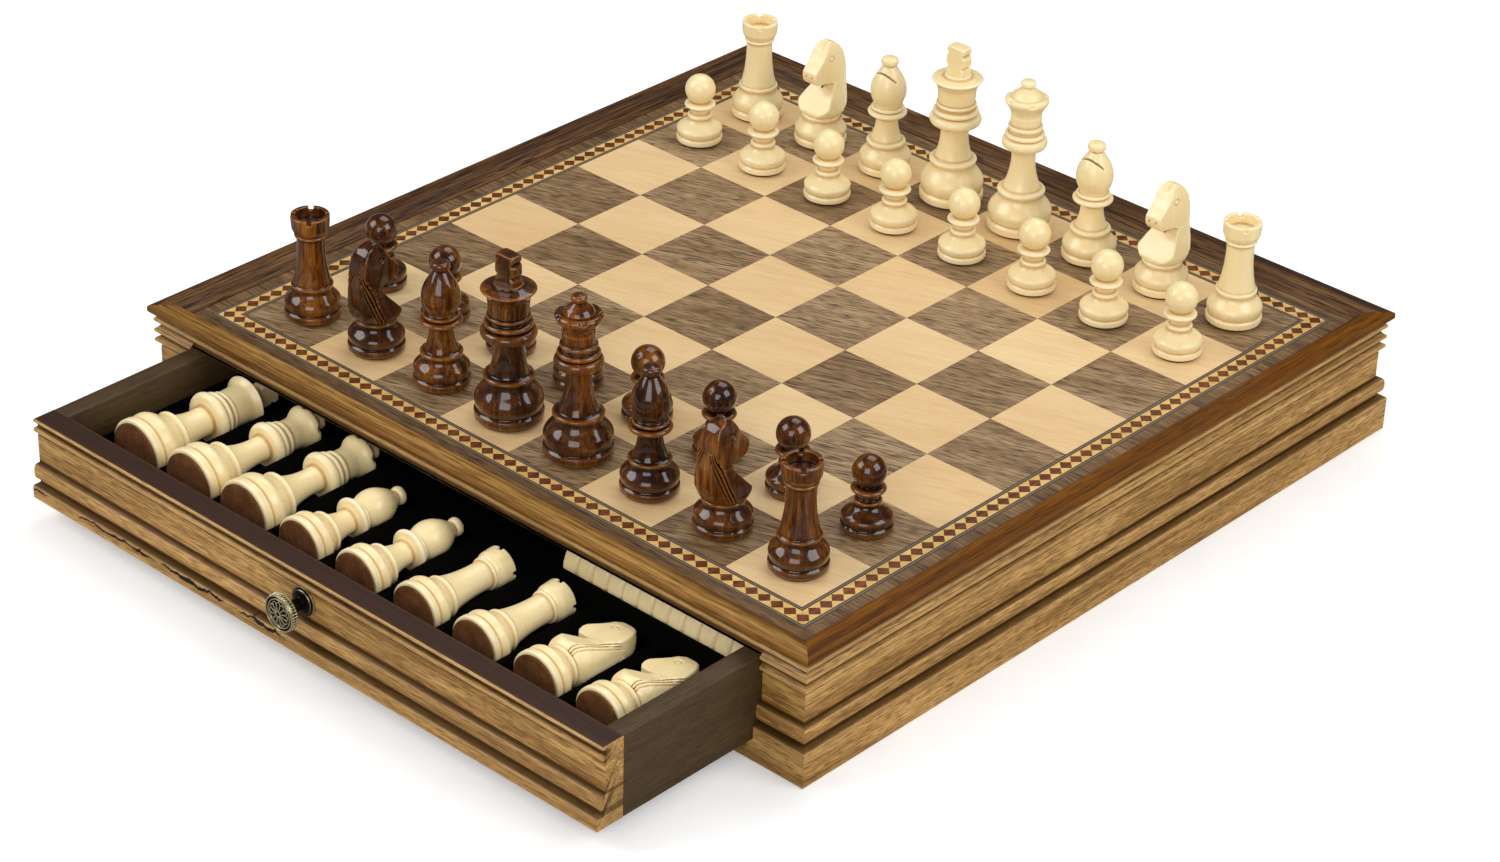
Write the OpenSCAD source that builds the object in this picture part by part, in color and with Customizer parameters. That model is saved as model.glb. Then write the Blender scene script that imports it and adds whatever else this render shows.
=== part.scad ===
// Chess box with two drawers, one at the front and one at the rear.
// Frame: origin at the centre of the underside, +Z up, the front drawer pulls towards -Y.
// The front drawer stands open by drawer_pull. The rear drawer is shut.

/* [Board] */
// Side of one square
square = 40; // [38:0.5:42]
// Width of each group of stringing lines beside the banding
string_w = 1.9; // [1.2:0.1:2.4]
// Width of the diamond banding
band_w = 6.7; // [5:0.1:8]
// Width of plain veneer that shows outside the inlay
border_w = 5.9; // [4:0.1:10]
// Thickness of the face veneers
veneer_t = 0.6; // [0.4:0.1:1]
// Thickness of the board's core
core_t = 6.2; // [5:0.1:8]

/* [Frame] */
// Width from the frame's lip to the face of the plinth
frame_w = 14.1; // [12:0.1:18]
// Height of the frame above the case
frame_h = 5.8; // [5:0.1:8]
// Width of the lip that covers the edge of the board
lip_cover = 4.6; // [3:0.1:6]
// Width of the slope between the lip and the frame's ridge
slope_w = 4.2; // [2:0.1:5]

/* [Case] */
// Thickness of the moulded case sides
side_t = 12.5; // [11:0.5:16]
// Width of each stile beside a drawer
stile_w = 26.1; // [22:0.1:34]
// Height of the rail below each drawer
bottom_rail_h = 9.7; // [8:0.1:12]
// Height of the rail above each drawer
top_rail_h = 5.2; // [5:0.1:5.8]
// Height of the plinth
plinth_h = 16; // [14:0.1:18]
// Depth of the rabbets that hold the board and the bottom panel
rabbet_w = 4; // [3:0.1:5]
// Thickness of the bottom panel
panel_t = 5; // [4:0.1:6]
// Thickness of the divider between the two bays
divider_t = 6; // [4:0.5:10]
// Width of the foot of a runner, which the drawer's side slides on
runner_w = 18; // [12:1:22]
// Height of the guide that stands beside a drawer
guide_h = 20; // [12:1:30]

/* [Drawer] */
// Height of a drawer
drawer_h = 36.7; // [34:0.1:42]
// Thickness of a drawer's face behind the flat of its moulding
face_t = 9.5; // [8:0.1:12]
// Thickness of a drawer's sides and back
wall_t = 9; // [7:0.5:11]
// Thickness of a drawer's bottom
base_t = 3; // [2:0.1:4]
// Depth of the grooves that hold a drawer's bottom
base_groove = 4; // [3:0.1:5]
// Height of the bottom's grooves above a drawer's lower edge
base_lift = 2.2; // [1.5:0.1:4]
// Gap between the back of a shut drawer and the divider
back_gap = 5; // [2:0.5:10]
// How far the front drawer is open
drawer_pull = 84; // [0:0.5:140]
// Height of the fitted tray
tray_h = 16.2; // [14:0.1:18]

/* [Knob] */
// Diameter of the knob's disc
knob_d = 16.4; // [12:0.1:22]
// Projection of the knob from the flat of the drawer's face
knob_l = 14.3; // [10:0.1:20]
// Diameter of the knob's foot
knob_foot_d = 12.8; // [9:0.1:14]
// Diameter of the knob's waist
knob_waist_d = 5.4; // [5:0.1:7]
// Diameter of the screw that holds the knob
screw_d = 3; // [2:0.1:3.4]

/* [Chessmen] */
// Height of a king
king_h = 76; // [70:1:80]
// Height of a queen
queen_h = 73; // [66:1:76]
// Height of a bishop
bishop_h = 57; // [52:0.5:62]
// Height of a knight
knight_h = 51.5; // [48:0.5:56]
// Height of a rook
rook_h = 48.5; // [46:0.5:54]
// Height of a pawn
pawn_h = 33.5; // [31:0.5:37]
// Diameter of a king's or a queen's base
royal_d = 29.2; // [27:0.1:29.5]
// Diameter of a bishop's, knight's or rook's base
officer_d = 24.5; // [22:0.1:26]
// Diameter of a pawn's base
pawn_d = 21.5; // [19:0.1:23]
// Thickness of the felt under each man
felt_t = 1; // [0.6:0.1:1.5]

/* [Draughts] */
// Diameter of a draughtsman
draught_d = 25.5; // [22:0.5:26.5]
// Thickness of a draughtsman
draught_t = 8.15; // [6:0.05:8.6]

/* [Storage] */
// Distance between the men that lie in the tray
berth_pitch = 33.5; // [31:0.1:34]
// Distance from the drawer's face to the feet of the men in the tray
berth_y = 16.2; // [6:0.1:18]
// Distance from the feet of the stored men to the axis of the row of draughts
trough_y = 78.4; // [76:0.1:80]
// Distance from the end of the row of draughts to the end of the tray
row_end = 6.5; // [1:0.5:12]
// Depth of the draughts' axis below the top of the tray
row_sink = 1.5; // [0:0.1:2]
// Length of the well for the pawns, along the drawer's depth
well_l = 42; // [36:1:44]
// Thickness of the tray below its deepest hollows
tray_floor = 2.4; // [1.5:0.1:3]

/* [Fits] */
// Running clearance beside and below a drawer
run_gap = 0.3; // [0.2:0.05:0.6]
// Clearance above a drawer
top_gap = 0.5; // [0.3:0.1:1]
// Clearance between glued pieces that lie in a rabbet or groove
seat_gap = 0.1; // [0.05:0.05:0.3]
// Clearance round what lies in the tray
berth_gap = 0.5; // [0.3:0.1:1]
// Seam between neighbouring veneers, and between a man and its felt
seam = 0.05; // [0.02:0.01:0.1]

/* [Hidden] */
$fn = 64;

// Board and case, measured outwards from the centre
squares = 8;
board_half = squares / 2 * square;
band_in = board_half + string_w;
band_out = band_in + band_w;
inlay_out = band_out + string_w;
lip_half = inlay_out + border_w;
case_half = lip_half + frame_w;
core_half = lip_half + lip_cover;
inner_half = case_half - side_t;
opening_half = case_half - stile_w;
drawer_half = opening_half - run_gap;

// Heights
drawer_z = bottom_rail_h + run_gap;
opening_z = drawer_z + drawer_h + top_gap;
seat_z = opening_z + top_rail_h;
board_z = opening_z + core_t + veneer_t;
frame_z = seat_z + frame_h;

// The moulding of the case: depths are measured inwards from the plinth's face
chamfer = 0.6;
quirk_d = 4;
quirk_h = 2.4;
bead_d = 1.2;
bead_h = 7.1;
bead_z = plinth_h + quirk_h;
flat_d = 4.3;
flat_z = bead_z + bead_h;
step_in = 4.6;
step_out = 2.4;
nose_h = 1.3;
cove_r = step_in - step_out - 0.6;
step_h = 4.6;
low_step_z = opening_z - step_h;
low_step_h = 4;
eave_h = 2.4;

// Drawer
face_y = -(case_half - flat_d);
face_back_y = face_y + face_t;
drawer_back_y = -(divider_t / 2 + back_gap);
base_z = drawer_z + base_lift;
tray_z = base_z + base_t + seat_gap;
tray_top = tray_z + tray_h;
tray_half = drawer_half - wall_t - run_gap;
tray_front_y = face_back_y + run_gap;
tray_back_y = drawer_back_y - wall_t - run_gap;

// Storage
berths = ["knight", "knight", "rook", "rook", "bishop", "bishop", "queen", "queen", "king"];
foot_y = face_back_y + berth_y;
trough_axis_y = foot_y + trough_y;
draughts = 12;
draught_pitch = draught_t + 2 * seam;
draught_x = tray_half - row_end - draughts * draught_pitch;
well_y = tray_back_y - 4 - well_l;
well_half = tray_half - 4;

// Knob, on the middle of the flat of the face
knob_z = (flat_z + low_step_z) / 2 - 0.8;
screw_l = 8;
screw_head_d = 6.4;
screw_head_h = 2.2;
bore_gap = 0.1;
far = 400;

// ---------- outlines ----------

// Half an ellipse that swells outwards from x between two heights. A power under 1 squares it
function bead(x, z0, z1, out, power = 1, n = 6) = [for (i = [0:n]) let (a = -90 + 180 * i / n)
    [x + out * pow(max(cos(a), 0), power), (z0 + z1) / 2 + (z1 - z0) / 2 * sin(a)]];

// A curve from one radius to another that leaves and arrives upright
function ogee(r0, z0, r1, z1, n = 6) = [for (i = [1:n - 1]) let (t = i / n)
    [r1 + (r0 - r1) * (0.5 + 0.5 * cos(180 * t)), z0 + (z1 - z0) * t]];

// A hollow flare from one radius to another, upright at its second end
function flare(r0, z0, r1, z1, n = 6) = [for (i = [0:n]) let (t = i / n)
    [r1 + (r0 - r1) * pow(1 - t, 2.2), z0 + (z1 - z0) * t]];

// An arc of a circle about (x, z)
function arc(x, z, r, a0, a1, n = 6) = [for (i = [0:n]) let (a = a0 + (a1 - a0) * i / n)
    [x + r * cos(a), z + r * sin(a)]];

// A step that rises from h below z to z: a cove, a nose and a flat ledge on top
function step(z, h) = concat(
    [[-step_in, z - h]],
    arc(-step_in + cove_r, z - nose_h - 0.6 - cove_r, cove_r, 180, 90, 4),
    arc(-step_out - 0.6, z - nose_h, 0.6, -90, 0, 2),
    [[-step_out, z - 0.4], [-step_out - 0.4, z], [-step_in, z]]);

// The moulded face of the case from the floor to the frame, as depths behind the plinth
function moulding() = concat(
    [[0, 0], [0, plinth_h - chamfer], [-chamfer, plinth_h],
        [-quirk_d, plinth_h]],
    bead(-quirk_d, bead_z, flat_z, quirk_d - bead_d, 0.45, 10),
    [[-flat_d, flat_z], [-flat_d, low_step_z - low_step_h]],
    step(low_step_z, low_step_h),
    step(opening_z, step_h),
    step(seat_z, top_rail_h));

// Section of a case side: the moulding outside, a rabbet for the panel and one for the board
module case_section() {
    translate([case_half, 0])
    polygon(concat(
        moulding(),
        [[core_half + 3 * seat_gap - case_half, seat_z],
            [core_half + 3 * seat_gap - case_half, opening_z],
            [-side_t, opening_z],
            [-side_t, panel_t],
            [rabbet_w - side_t, panel_t],
            [rabbet_w - side_t, 0]]));
}

// Section of a frame rail: slope inside, flat top, and eaves that overhang the moulding
module frame_section() {
    ridge = lip_half + slope_w;
    out = case_half - chamfer;
    edge_r = 1;
    neck = case_half - quirk_d;
    polygon(concat(
        [[lip_half, board_z], [lip_half, board_z + 0.5]],
        arc(ridge + 0.4, frame_z - 0.6, 0.6, 130, 90, 2),
        arc(out - edge_r, frame_z - edge_r, edge_r, 90, 0, 4),
        arc(out - 0.8, seat_z + eave_h + 0.8, 0.8, 0, -90, 3),
        [[neck, seat_z + eave_h], [neck, seat_z],
            [core_half + 3 * seat_gap, seat_z], [core_half + 3 * seat_gap, board_z]]));
}

// Runs a section along Y on the +X side and mitres both ends
module mitred_rail() {
    intersection() {
        translate([0, case_half + 1, 0]) rotate([90, 0, 0])
            linear_extrude(2 * (case_half + 1)) children();
        linear_extrude(far) polygon([[0, 0], [far, -far], [far, far]]);
    }
}

// Runs a section along X on the -Y side, from x0 to x1
module front_run(x0, x1) {
    translate([x0, 0, 0]) rotate([90, 0, 0]) rotate([0, 90, 0])
        linear_extrude(x1 - x0) mirror([1, 0]) children();
}

// What the front of the case shares with the sides, cut at the mitres
module front_wedge() {
    linear_extrude(far) polygon([[0, 0], [-far, -far], [far, -far]]);
}

module rear() {
    rotate([0, 0, 180]) children();
}

module pulled() {
    translate([0, -drawer_pull, 0]) children();
}

// ---------- board ----------

module frame_rail(turn) {
    rotate([0, 0, turn]) mitred_rail() frame_section();
}
module frame_front() { color("#8a5a24") frame_rail(-90); }
module frame_rear() { color("#6b4022") frame_rail(90); }
module frame_left() { color("#6b4022") frame_rail(180); }
module frame_right() { color("#8a5a24") frame_rail(0); }

module board_core() {
    color("#b59468")
    translate([-core_half, -core_half, opening_z])
        cube([2 * core_half, 2 * core_half, core_t]);
}

// Every second square, starting with the given one at the near left corner
module squares_of(first) {
    for (i = [0:squares - 1], j = [0:squares - 1])
        if ((i + j) % 2 == first)
            translate([i * square - board_half + seam, j * square - board_half + seam, 0])
                cube([square - 2 * seam, square - 2 * seam, veneer_t]);
}
module dark_squares() {
    color("#8c765f") translate([0, 0, board_z - veneer_t]) squares_of(0);
}
module light_squares() {
    color("#e8c896") translate([0, 0, board_z - veneer_t]) squares_of(1);
}

// Four mitred strips of veneer between two half widths
module veneer_ring(inner, outer) {
    translate([0, 0, board_z - veneer_t])
    for (turn = [0:90:270])
        rotate([0, 0, turn])
        linear_extrude(veneer_t)
        polygon([[inner + seam, -inner + seam], [outer - seam, -outer + 3 * seam],
            [outer - seam, outer - 3 * seam], [inner + seam, inner - seam]]);
}
module stringing() {
    color("#1c1712") {
        veneer_ring(board_half, band_in);
        veneer_ring(band_out, inlay_out);
    }
}
module banding() { color("#d9b45a") veneer_ring(band_in, band_out); }
module border_veneer() { color("#7a6248") veneer_ring(inlay_out, core_half); }

// ---------- case ----------

module case_side(turn) {
    rotate([0, 0, turn]) mitred_rail() case_section();
}
module side_left() { color("#a5825a") case_side(180); }
module side_right() { color("#a5825a") case_side(0); }

// The two returns of the moulding beside the front drawer
module stiles() {
    intersection() {
        union() {
            front_run(-case_half, -opening_half) case_section();
            front_run(opening_half, case_half) case_section();
        }
        front_wedge();
    }
}
module front_stiles() { color("#a07c52") stiles(); }
module rear_stiles() { color("#a07c52") rear() stiles(); }

// The part of the moulding between two heights, between the stiles
module rail(z0, z1) {
    front_run(-opening_half, opening_half)
    intersection() {
        case_section();
        translate([0, z0]) square([far, z1 - z0]);
    }
}
module top_rail_front() { color("#a07c52") rail(opening_z, seat_z); }
module top_rail_rear() { color("#a07c52") rear() rail(opening_z, seat_z); }
module bottom_rail_front() { color("#946f48") rail(0, bottom_rail_h); }
module bottom_rail_rear() { color("#946f48") rear() rail(0, bottom_rail_h); }

panel_half = inner_half + rabbet_w - seat_gap;
guide_x = (opening_half + inner_half) / 2;
screw_ys = [-130, 0, 130];
wood_screw_d = 3.4;
wood_screw_l = 16;

module at_bottom_screws() {
    for (x = [-guide_x, guide_x], y = screw_ys)
        translate([x, y, 0]) children();
}

module bottom_panel() {
    color("#c9a878")
    difference() {
        translate([-panel_half, -panel_half, 0])
            cube([2 * panel_half, 2 * panel_half, panel_t]);
        at_bottom_screws() countersunk_hole(wood_screw_d, panel_t);
    }
}

module divider() {
    color("#b8905e")
    difference() {
        translate([-opening_half, -divider_t / 2, panel_t])
            cube([2 * opening_half, divider_t, opening_z - panel_t]);
        for (s = [-1, 1])
            translate([s * (opening_half - runner_w / 2), 0, panel_t])
                cube([runner_w + 2 * seat_gap, 2 * divider_t, 2 * (bottom_rail_h - panel_t)],
                    center = true);
    }
}

// A foot that the drawers slide on, and a guide that stands beside them
module runner() {
    difference() {
        translate([0, inner_half, 0]) rotate([90, 0, 0])
            linear_extrude(2 * inner_half)
            polygon([[opening_half - runner_w, panel_t], [inner_half, panel_t],
                [inner_half, panel_t + guide_h], [opening_half, panel_t + guide_h],
                [opening_half, bottom_rail_h], [opening_half - runner_w, bottom_rail_h]]);
        for (y = screw_ys)
            translate([guide_x, y, panel_t - 1])
                cylinder(d = wood_screw_d + 2 * seat_gap, h = wood_screw_l);
    }
}
module runner_right() { color("#c2a070") runner(); }
module runner_left() { color("#c2a070") mirror([1, 0, 0]) runner(); }

block_w = 9;
block_h = 16;

// Triangular blocks glued into the corners of the case above the guides
module glue_blocks() {
    color("#c9a878")
    for (sx = [-1, 1], sy = [-1, 1])
        translate([sx * inner_half, sy * inner_half, panel_t + guide_h + run_gap])
            linear_extrude(block_h)
            polygon([[0, 0], [-sx * block_w, 0], [0, -sy * block_w]]);
}

// A hole that opens to a cone at the bottom
module countersunk_hole(d, depth) {
    translate([0, 0, -1]) cylinder(d = d + 4 * bore_gap, h = depth + 2);
    translate([0, 0, -bore_gap])
        cylinder(d1 = 2 * d + 4 * bore_gap, d2 = d + 4 * bore_gap, h = d / 2 + 2 * bore_gap);
}

// A countersunk screw that points up, its head flush with z = 0
module countersunk_screw(d, l) {
    slot_w = 0.8;
    difference() {
        rotate_extrude()
        polygon([[0, 0], [d, 0], [d / 2, d / 2], [d / 2, l - d], [0, l]]);
        translate([0, 0, slot_w / 2 - bore_gap])
            cube([2 * d + 1, slot_w, slot_w], center = true);
    }
}
module bottom_screws() {
    color("#b08a3c")
    at_bottom_screws() translate([0, 0, bore_gap]) countersunk_screw(wood_screw_d, wood_screw_l);
}

// ---------- drawer, drawn shut at the front ----------

module at_knob() {
    translate([0, face_y, knob_z]) rotate([90, 0, 0]) children();
}

module drawer_face() {
    difference() {
        front_run(-drawer_half, drawer_half)
        intersection() {
            union() {
                case_section();
                translate([-face_back_y, 0]) square([side_t / 2, far]);
            }
            translate([-face_back_y, drawer_z]) square([far, drawer_h]);
        }
        translate([-(drawer_half - wall_t + base_groove), face_back_y - base_groove, base_z])
            cube([2 * (drawer_half - wall_t + base_groove), 2 * base_groove, base_t + seat_gap]);
        at_knob() {
            translate([0, 0, -face_t - 1]) cylinder(d = screw_d + 4 * bore_gap, h = far);
            translate([0, 0, -face_t - bore_gap])
                cylinder(d = screw_head_d + 4 * bore_gap, h = screw_head_h + 2 * bore_gap);
        }
    }
}

module drawer_side() {
    difference() {
        translate([drawer_half - wall_t, face_back_y, drawer_z])
            cube([wall_t, drawer_back_y - face_back_y, drawer_h]);
        translate([drawer_half - wall_t - 1, face_back_y - 1, base_z])
            cube([1 + base_groove, far, base_t + seat_gap]);
    }
}

module drawer_back() {
    lift = base_z + base_t + seat_gap;
    translate([-(drawer_half - wall_t), drawer_back_y - wall_t, lift])
        cube([2 * (drawer_half - wall_t), wall_t, drawer_z + drawer_h - lift]);
}

module drawer_bottom() {
    half = drawer_half - wall_t + base_groove - seat_gap;
    translate([-half, face_back_y - base_groove + seat_gap, base_z + seat_gap / 2])
        cube([2 * half, drawer_back_y - face_back_y + base_groove - seat_gap, base_t]);
}

// Hollow that takes the lower half of a man that lies on its side, foot towards the front
module berth(kind) {
    d = base_d(kind) + 2 * berth_gap;
    shoulder = ring_z(kind) + 2 * berth_gap;
    rotate([-90, 0, 0]) {
        translate([0, 0, -2 * berth_gap]) cylinder(d = d, h = shoulder + 2 * berth_gap);
        cylinder(d = head_d(kind) + 2 * berth_gap, h = man_h(kind) + 2 * berth_gap);
    }
}

module at_berth(i) {
    translate([(squares / 2 - i) * berth_pitch, foot_y, tray_top]) children();
}

module tray() {
    trough_r = draught_d / 2 + berth_gap;
    difference() {
        translate([-tray_half, tray_front_y, tray_z])
            cube([2 * tray_half, tray_back_y - tray_front_y, tray_h]);
        for (i = [0:squares]) at_berth(i) berth(berths[i]);
        translate([draught_x - berth_gap, trough_axis_y, tray_top - row_sink]) rotate([0, 90, 0])
            cylinder(r = trough_r, h = draughts * draught_pitch + 2 * berth_gap);
        translate([-well_half, well_y, tray_z + tray_floor])
            cube([2 * well_half, well_l, tray_h]);
    }
}

module knob() {
    rim_h = 3;
    foot_h = 1;
    dome_h = 2.4;
    under = knob_l - rim_h - 1.2;
    difference() {
        rotate_extrude()
        polygon(concat(
            [[0, 0], [knob_foot_d / 2, 0], [knob_foot_d / 2, foot_h]],
            ogee(knob_foot_d / 2, foot_h, knob_waist_d / 2, foot_h + dome_h),
            [[knob_waist_d / 2, foot_h + dome_h], [knob_waist_d / 2, under - 2]],
            ogee(knob_waist_d / 2, under - 2, knob_d / 2 - 0.6, under, 4),
            [[knob_d / 2 - 0.6, under], [knob_d / 2, under + 0.5], [knob_d / 2, under + rim_h],
                [knob_d / 2 - 0.7, under + rim_h + 0.5], [knob_d / 2 - 1.4, under + rim_h + 0.2],
                [knob_d / 4, knob_l - 0.2], [0, knob_l]]));
        translate([0, 0, -1]) cylinder(d = screw_d + bore_gap, h = 1 + screw_l);
    }
}

module knob_screw() {
    translate([0, 0, -face_t])
    rotate_extrude()
    polygon([[0, 0], [screw_head_d / 2, 0], [screw_head_d / 2, screw_head_h - 1],
        [screw_d / 2 + 0.4, screw_head_h], [screw_d / 2, screw_head_h],
        [screw_d / 2, face_t + screw_l - 1], [0, face_t + screw_l - 0.5]]);
}

module front_drawer_face() { color("#a5825a") pulled() drawer_face(); }
module front_drawer_side_left() { color("#4b3c2a") pulled() mirror([1, 0, 0]) drawer_side(); }
module front_drawer_side_right() { color("#4b3c2a") pulled() drawer_side(); }
module front_drawer_back() { color("#4b3c2a") pulled() drawer_back(); }
module front_drawer_bottom() { color("#4b3c2a") pulled() drawer_bottom(); }
module front_drawer_tray() { color("#1a1a1c") pulled() tray(); }
module front_knob() { color("#7a6a48") pulled() at_knob() knob(); }
module front_knob_screw() { color("#b0a890") pulled() at_knob() knob_screw(); }

module rear_drawer_face() { color("#a5825a") rear() drawer_face(); }
module rear_drawer_side_left() { color("#4b3c2a") rear() drawer_side(); }
module rear_drawer_side_right() { color("#4b3c2a") rear() mirror([1, 0, 0]) drawer_side(); }
module rear_drawer_back() { color("#4b3c2a") rear() drawer_back(); }
module rear_drawer_bottom() { color("#4b3c2a") rear() drawer_bottom(); }
module rear_drawer_tray() { color("#1a1a1c") rear() tray(); }
module rear_knob() { color("#7a6a48") rear() at_knob() knob(); }
module rear_knob_screw() { color("#b0a890") rear() at_knob() knob_screw(); }

// ---------- chessmen, turned about Z with the felt at z = 0 ----------

function base_d(kind) = kind == "king" || kind == "queen" ? royal_d
    : kind == "pawn" ? pawn_d : officer_d;
function man_h(kind) = kind == "king" ? king_h : kind == "queen" ? queen_h
    : kind == "bishop" ? bishop_h : kind == "knight" ? knight_h
    : kind == "rook" ? rook_h : pawn_h;
// Height and diameter of the ring on top of the swelling foot
function ring_z(kind) = (kind == "rook" ? 0.34 : kind == "knight" ? 0.3 : 0.28) * man_h(kind);
function ring_d(kind) = 0.74 * base_d(kind);
// Widest part above the ring
function head_d(kind) = kind == "king" ? 0.82 * royal_d : kind == "queen" ? 0.7 * royal_d
    : kind == "knight" ? 0.98 * officer_d : 0.76 * officer_d;

// Foot that all the men share: slab, groove, swelling and ring. Its small steps follow the base
function foot(d, ring, top) = let (slab = 0.16 * d, r = d / 2, u = 0.02 * d) concat(
    [[0, felt_t + seam], [r - u, felt_t + seam], [r, felt_t + u], [r, slab],
        [r - 2 * u, slab + u]],
    [for (i = [0:3]) [r - 2 * u + 1.7 * u * sin(30 * i), slab + u + (top - slab) * 0.09 * i]],
    ogee(r - 0.3 * u, slab + u + (top - slab) * 0.27, ring / 2 - u, top - 4.4 * u),
    [[ring / 2 - u, top - 4.4 * u], [ring / 2, top - 2.4 * u], [ring / 2, top - u],
        [ring / 2 - 1.5 * u, top]]);

module turned(points) {
    rotate_extrude() polygon(points);
}

module felt(d) {
    cylinder(d = 0.94 * d, h = felt_t);
}

module king() {
    h = king_h;
    d = royal_d;
    crown_z = 0.79 * h;
    turned(concat(foot(d, ring_d("king"), ring_z("king")),
        flare(0.295 * d, 0.286 * h, 0.217 * d, 0.46 * h), [[0.217 * d, 0.498 * h]],
        bead(0.33 * d, 0.502 * h, 0.562 * h, 0.075 * d),
        bead(0.3 * d, 0.57 * h, 0.602 * h, 0.055 * d, 1, 4),
        [[0.285 * d, 0.604 * h], [0.285 * d, 0.618 * h]],
        bead(0.285 * d, 0.62 * h, 0.643 * h, 0.03 * d, 1, 4),
        [[0.29 * d, 0.65 * h], [0.3 * d, 0.72 * h], [0.325 * d, 0.755 * h],
            [0.4 * d, crown_z], [0.39 * d, crown_z + 0.018 * d],
            [0.21 * d, crown_z + 0.05 * d], [0.21 * d, crown_z + 0.075 * d],
            [0.19 * d, crown_z + 0.085 * d], [0, crown_z + 0.085 * d]]));
    // a turned stub, sawn flat on two sides and notched on the others
    cross_t = 0.215 * d;
    z0 = crown_z + 0.08 * d;
    rise = h - z0;
    arms = [[0.17, 0], [0.17, 0.2], [0.125, 0.3], [0.19, 0.38], [0.19, 0.62], [0.13, 0.7],
        [0.165, 0.8], [0.165, 1]];
    intersection() {
        turned([[0, z0], [0.2 * d, z0], [0.19 * d, h - 0.03 * d], [0.16 * d, h - 0.006 * d],
            [0, h]]);
        translate([0, cross_t / 2, 0]) rotate([90, 0, 0]) linear_extrude(cross_t)
            polygon(concat([for (a = arms) [a[0] * d, z0 + a[1] * rise]],
                [for (i = [1:len(arms)]) let (a = arms[len(arms) - i])
                    [-a[0] * d, z0 + a[1] * rise]]));
    }
}

module queen() {
    h = queen_h;
    d = royal_d;
    notches = 5;
    rim_z = 0.891 * h;
    difference() {
        turned(concat(foot(d, ring_d("queen"), ring_z("queen")),
            flare(0.295 * d, 0.286 * h, 0.185 * d, 0.5 * h), [[0.185 * d, 0.554 * h]],
            bead(0.285 * d, 0.558 * h, 0.623 * h, 0.065 * d),
            bead(0.26 * d, 0.627 * h, 0.66 * h, 0.047 * d, 1, 4),
            [[0.25 * d, 0.662 * h], [0.25 * d, 0.676 * h]],
            bead(0.24 * d, 0.679 * h, 0.708 * h, 0.03 * d, 1, 4),
            [[0.235 * d, 0.713 * h], [0.24 * d, 0.79 * h], [0.257 * d, 0.81 * h],
                [0.284 * d, 0.83 * h], [0.32 * d, 0.85 * h], [0.337 * d, 0.866 * h],
                [0.334 * d, 0.88 * h], [0.305 * d, rim_z], [0.23 * d, rim_z - 0.015 * d],
                [0.225 * d, 0.9 * h], [0.185 * d, 0.921 * h], [0.128 * d, 0.94 * h],
                [0.09 * d, 0.953 * h]],
            bead(0.06 * d, 0.957 * h, 0.997 * h, 0.06 * d, 0.7), [[0, h]]));
        for (i = [0:notches - 1])
            rotate([0, 0, (i + 0.5) * 360 / notches])
                translate([0.35 * d, 0, rim_z]) sphere(r = 0.07 * d);
    }
}

module bishop() {
    h = bishop_h;
    d = officer_d;
    head_z = 0.6 * h;
    head_top = 0.925 * h;
    difference() {
        turned(concat(foot(d, ring_d("bishop"), ring_z("bishop")),
            flare(0.3 * d, 0.286 * h, 0.205 * d, 0.48 * h),
            bead(0.3 * d, 0.5 * h, 0.545 * h, 0.07 * d, 1, 4),
            bead(0.27 * d, 0.55 * h, 0.58 * h, 0.04 * d, 1, 4),
            [[0.25 * d, 0.585 * h], [0.25 * d, head_z]],
            [for (i = [1:9]) let (t = i / 9)
                [0.36 * d * sin(46 + 110 * t) * (1 - 0.16 * t),
                    head_z + (head_top - head_z) * t]],
            bead(0.09 * d, head_top + 0.01 * d, h - 0.01 * d, 0.075 * d, 0.7), [[0, h]]));
        // slit that slants down from the front
        translate([0, 0.083 * d, 0.81 * h]) rotate([54, 0, 0])
            translate([-d, 0, -0.018 * d]) cube([2 * d, 0.5 * d, 0.036 * d]);
    }
}

module rook() {
    h = rook_h;
    d = officer_d;
    wall = 0.075 * d;
    cup = 0.2 * d;
    difference() {
        turned(concat(foot(d, ring_d("rook"), ring_z("rook")),
            flare(0.335 * d, 0.346 * h, 0.245 * d, 0.72 * h),
            [[0.245 * d, 0.785 * h]],
            bead(0.25 * d, 0.79 * h, 0.82 * h, 0.035 * d, 1, 4),
            [[0.3 * d, 0.845 * h], [0.33 * d, 0.88 * h], [0.345 * d, h - 0.015 * d],
                [0.33 * d, h], [0, h]]));
        translate([0, 0, h - cup]) cylinder(r = 0.335 * d - wall, h = cup + 1);
        for (turn = [0, 90])
            rotate([0, 0, turn]) translate([0, 0, h])
                cube([d, 0.085 * d, 0.15 * d], center = true);
    }
}

module pawn() {
    h = pawn_h;
    d = pawn_d;
    ball = 0.33 * d;
    neck = 0.18 * d;
    neck_a = acos(neck / ball);
    turned(concat(foot(d, 0.53 * d, 0.425 * h),
        [[0.195 * d, 0.43 * h], [0.195 * d, 0.525 * h]],
        bead(0.25 * d, 0.53 * h, 0.598 * h, 0.085 * d, 1, 4),
        [[neck, min(0.6 * h, h - ball - ball * sin(neck_a))]],
        arc(0, h - ball, ball, -neck_a, 90, 10)));
}

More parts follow.
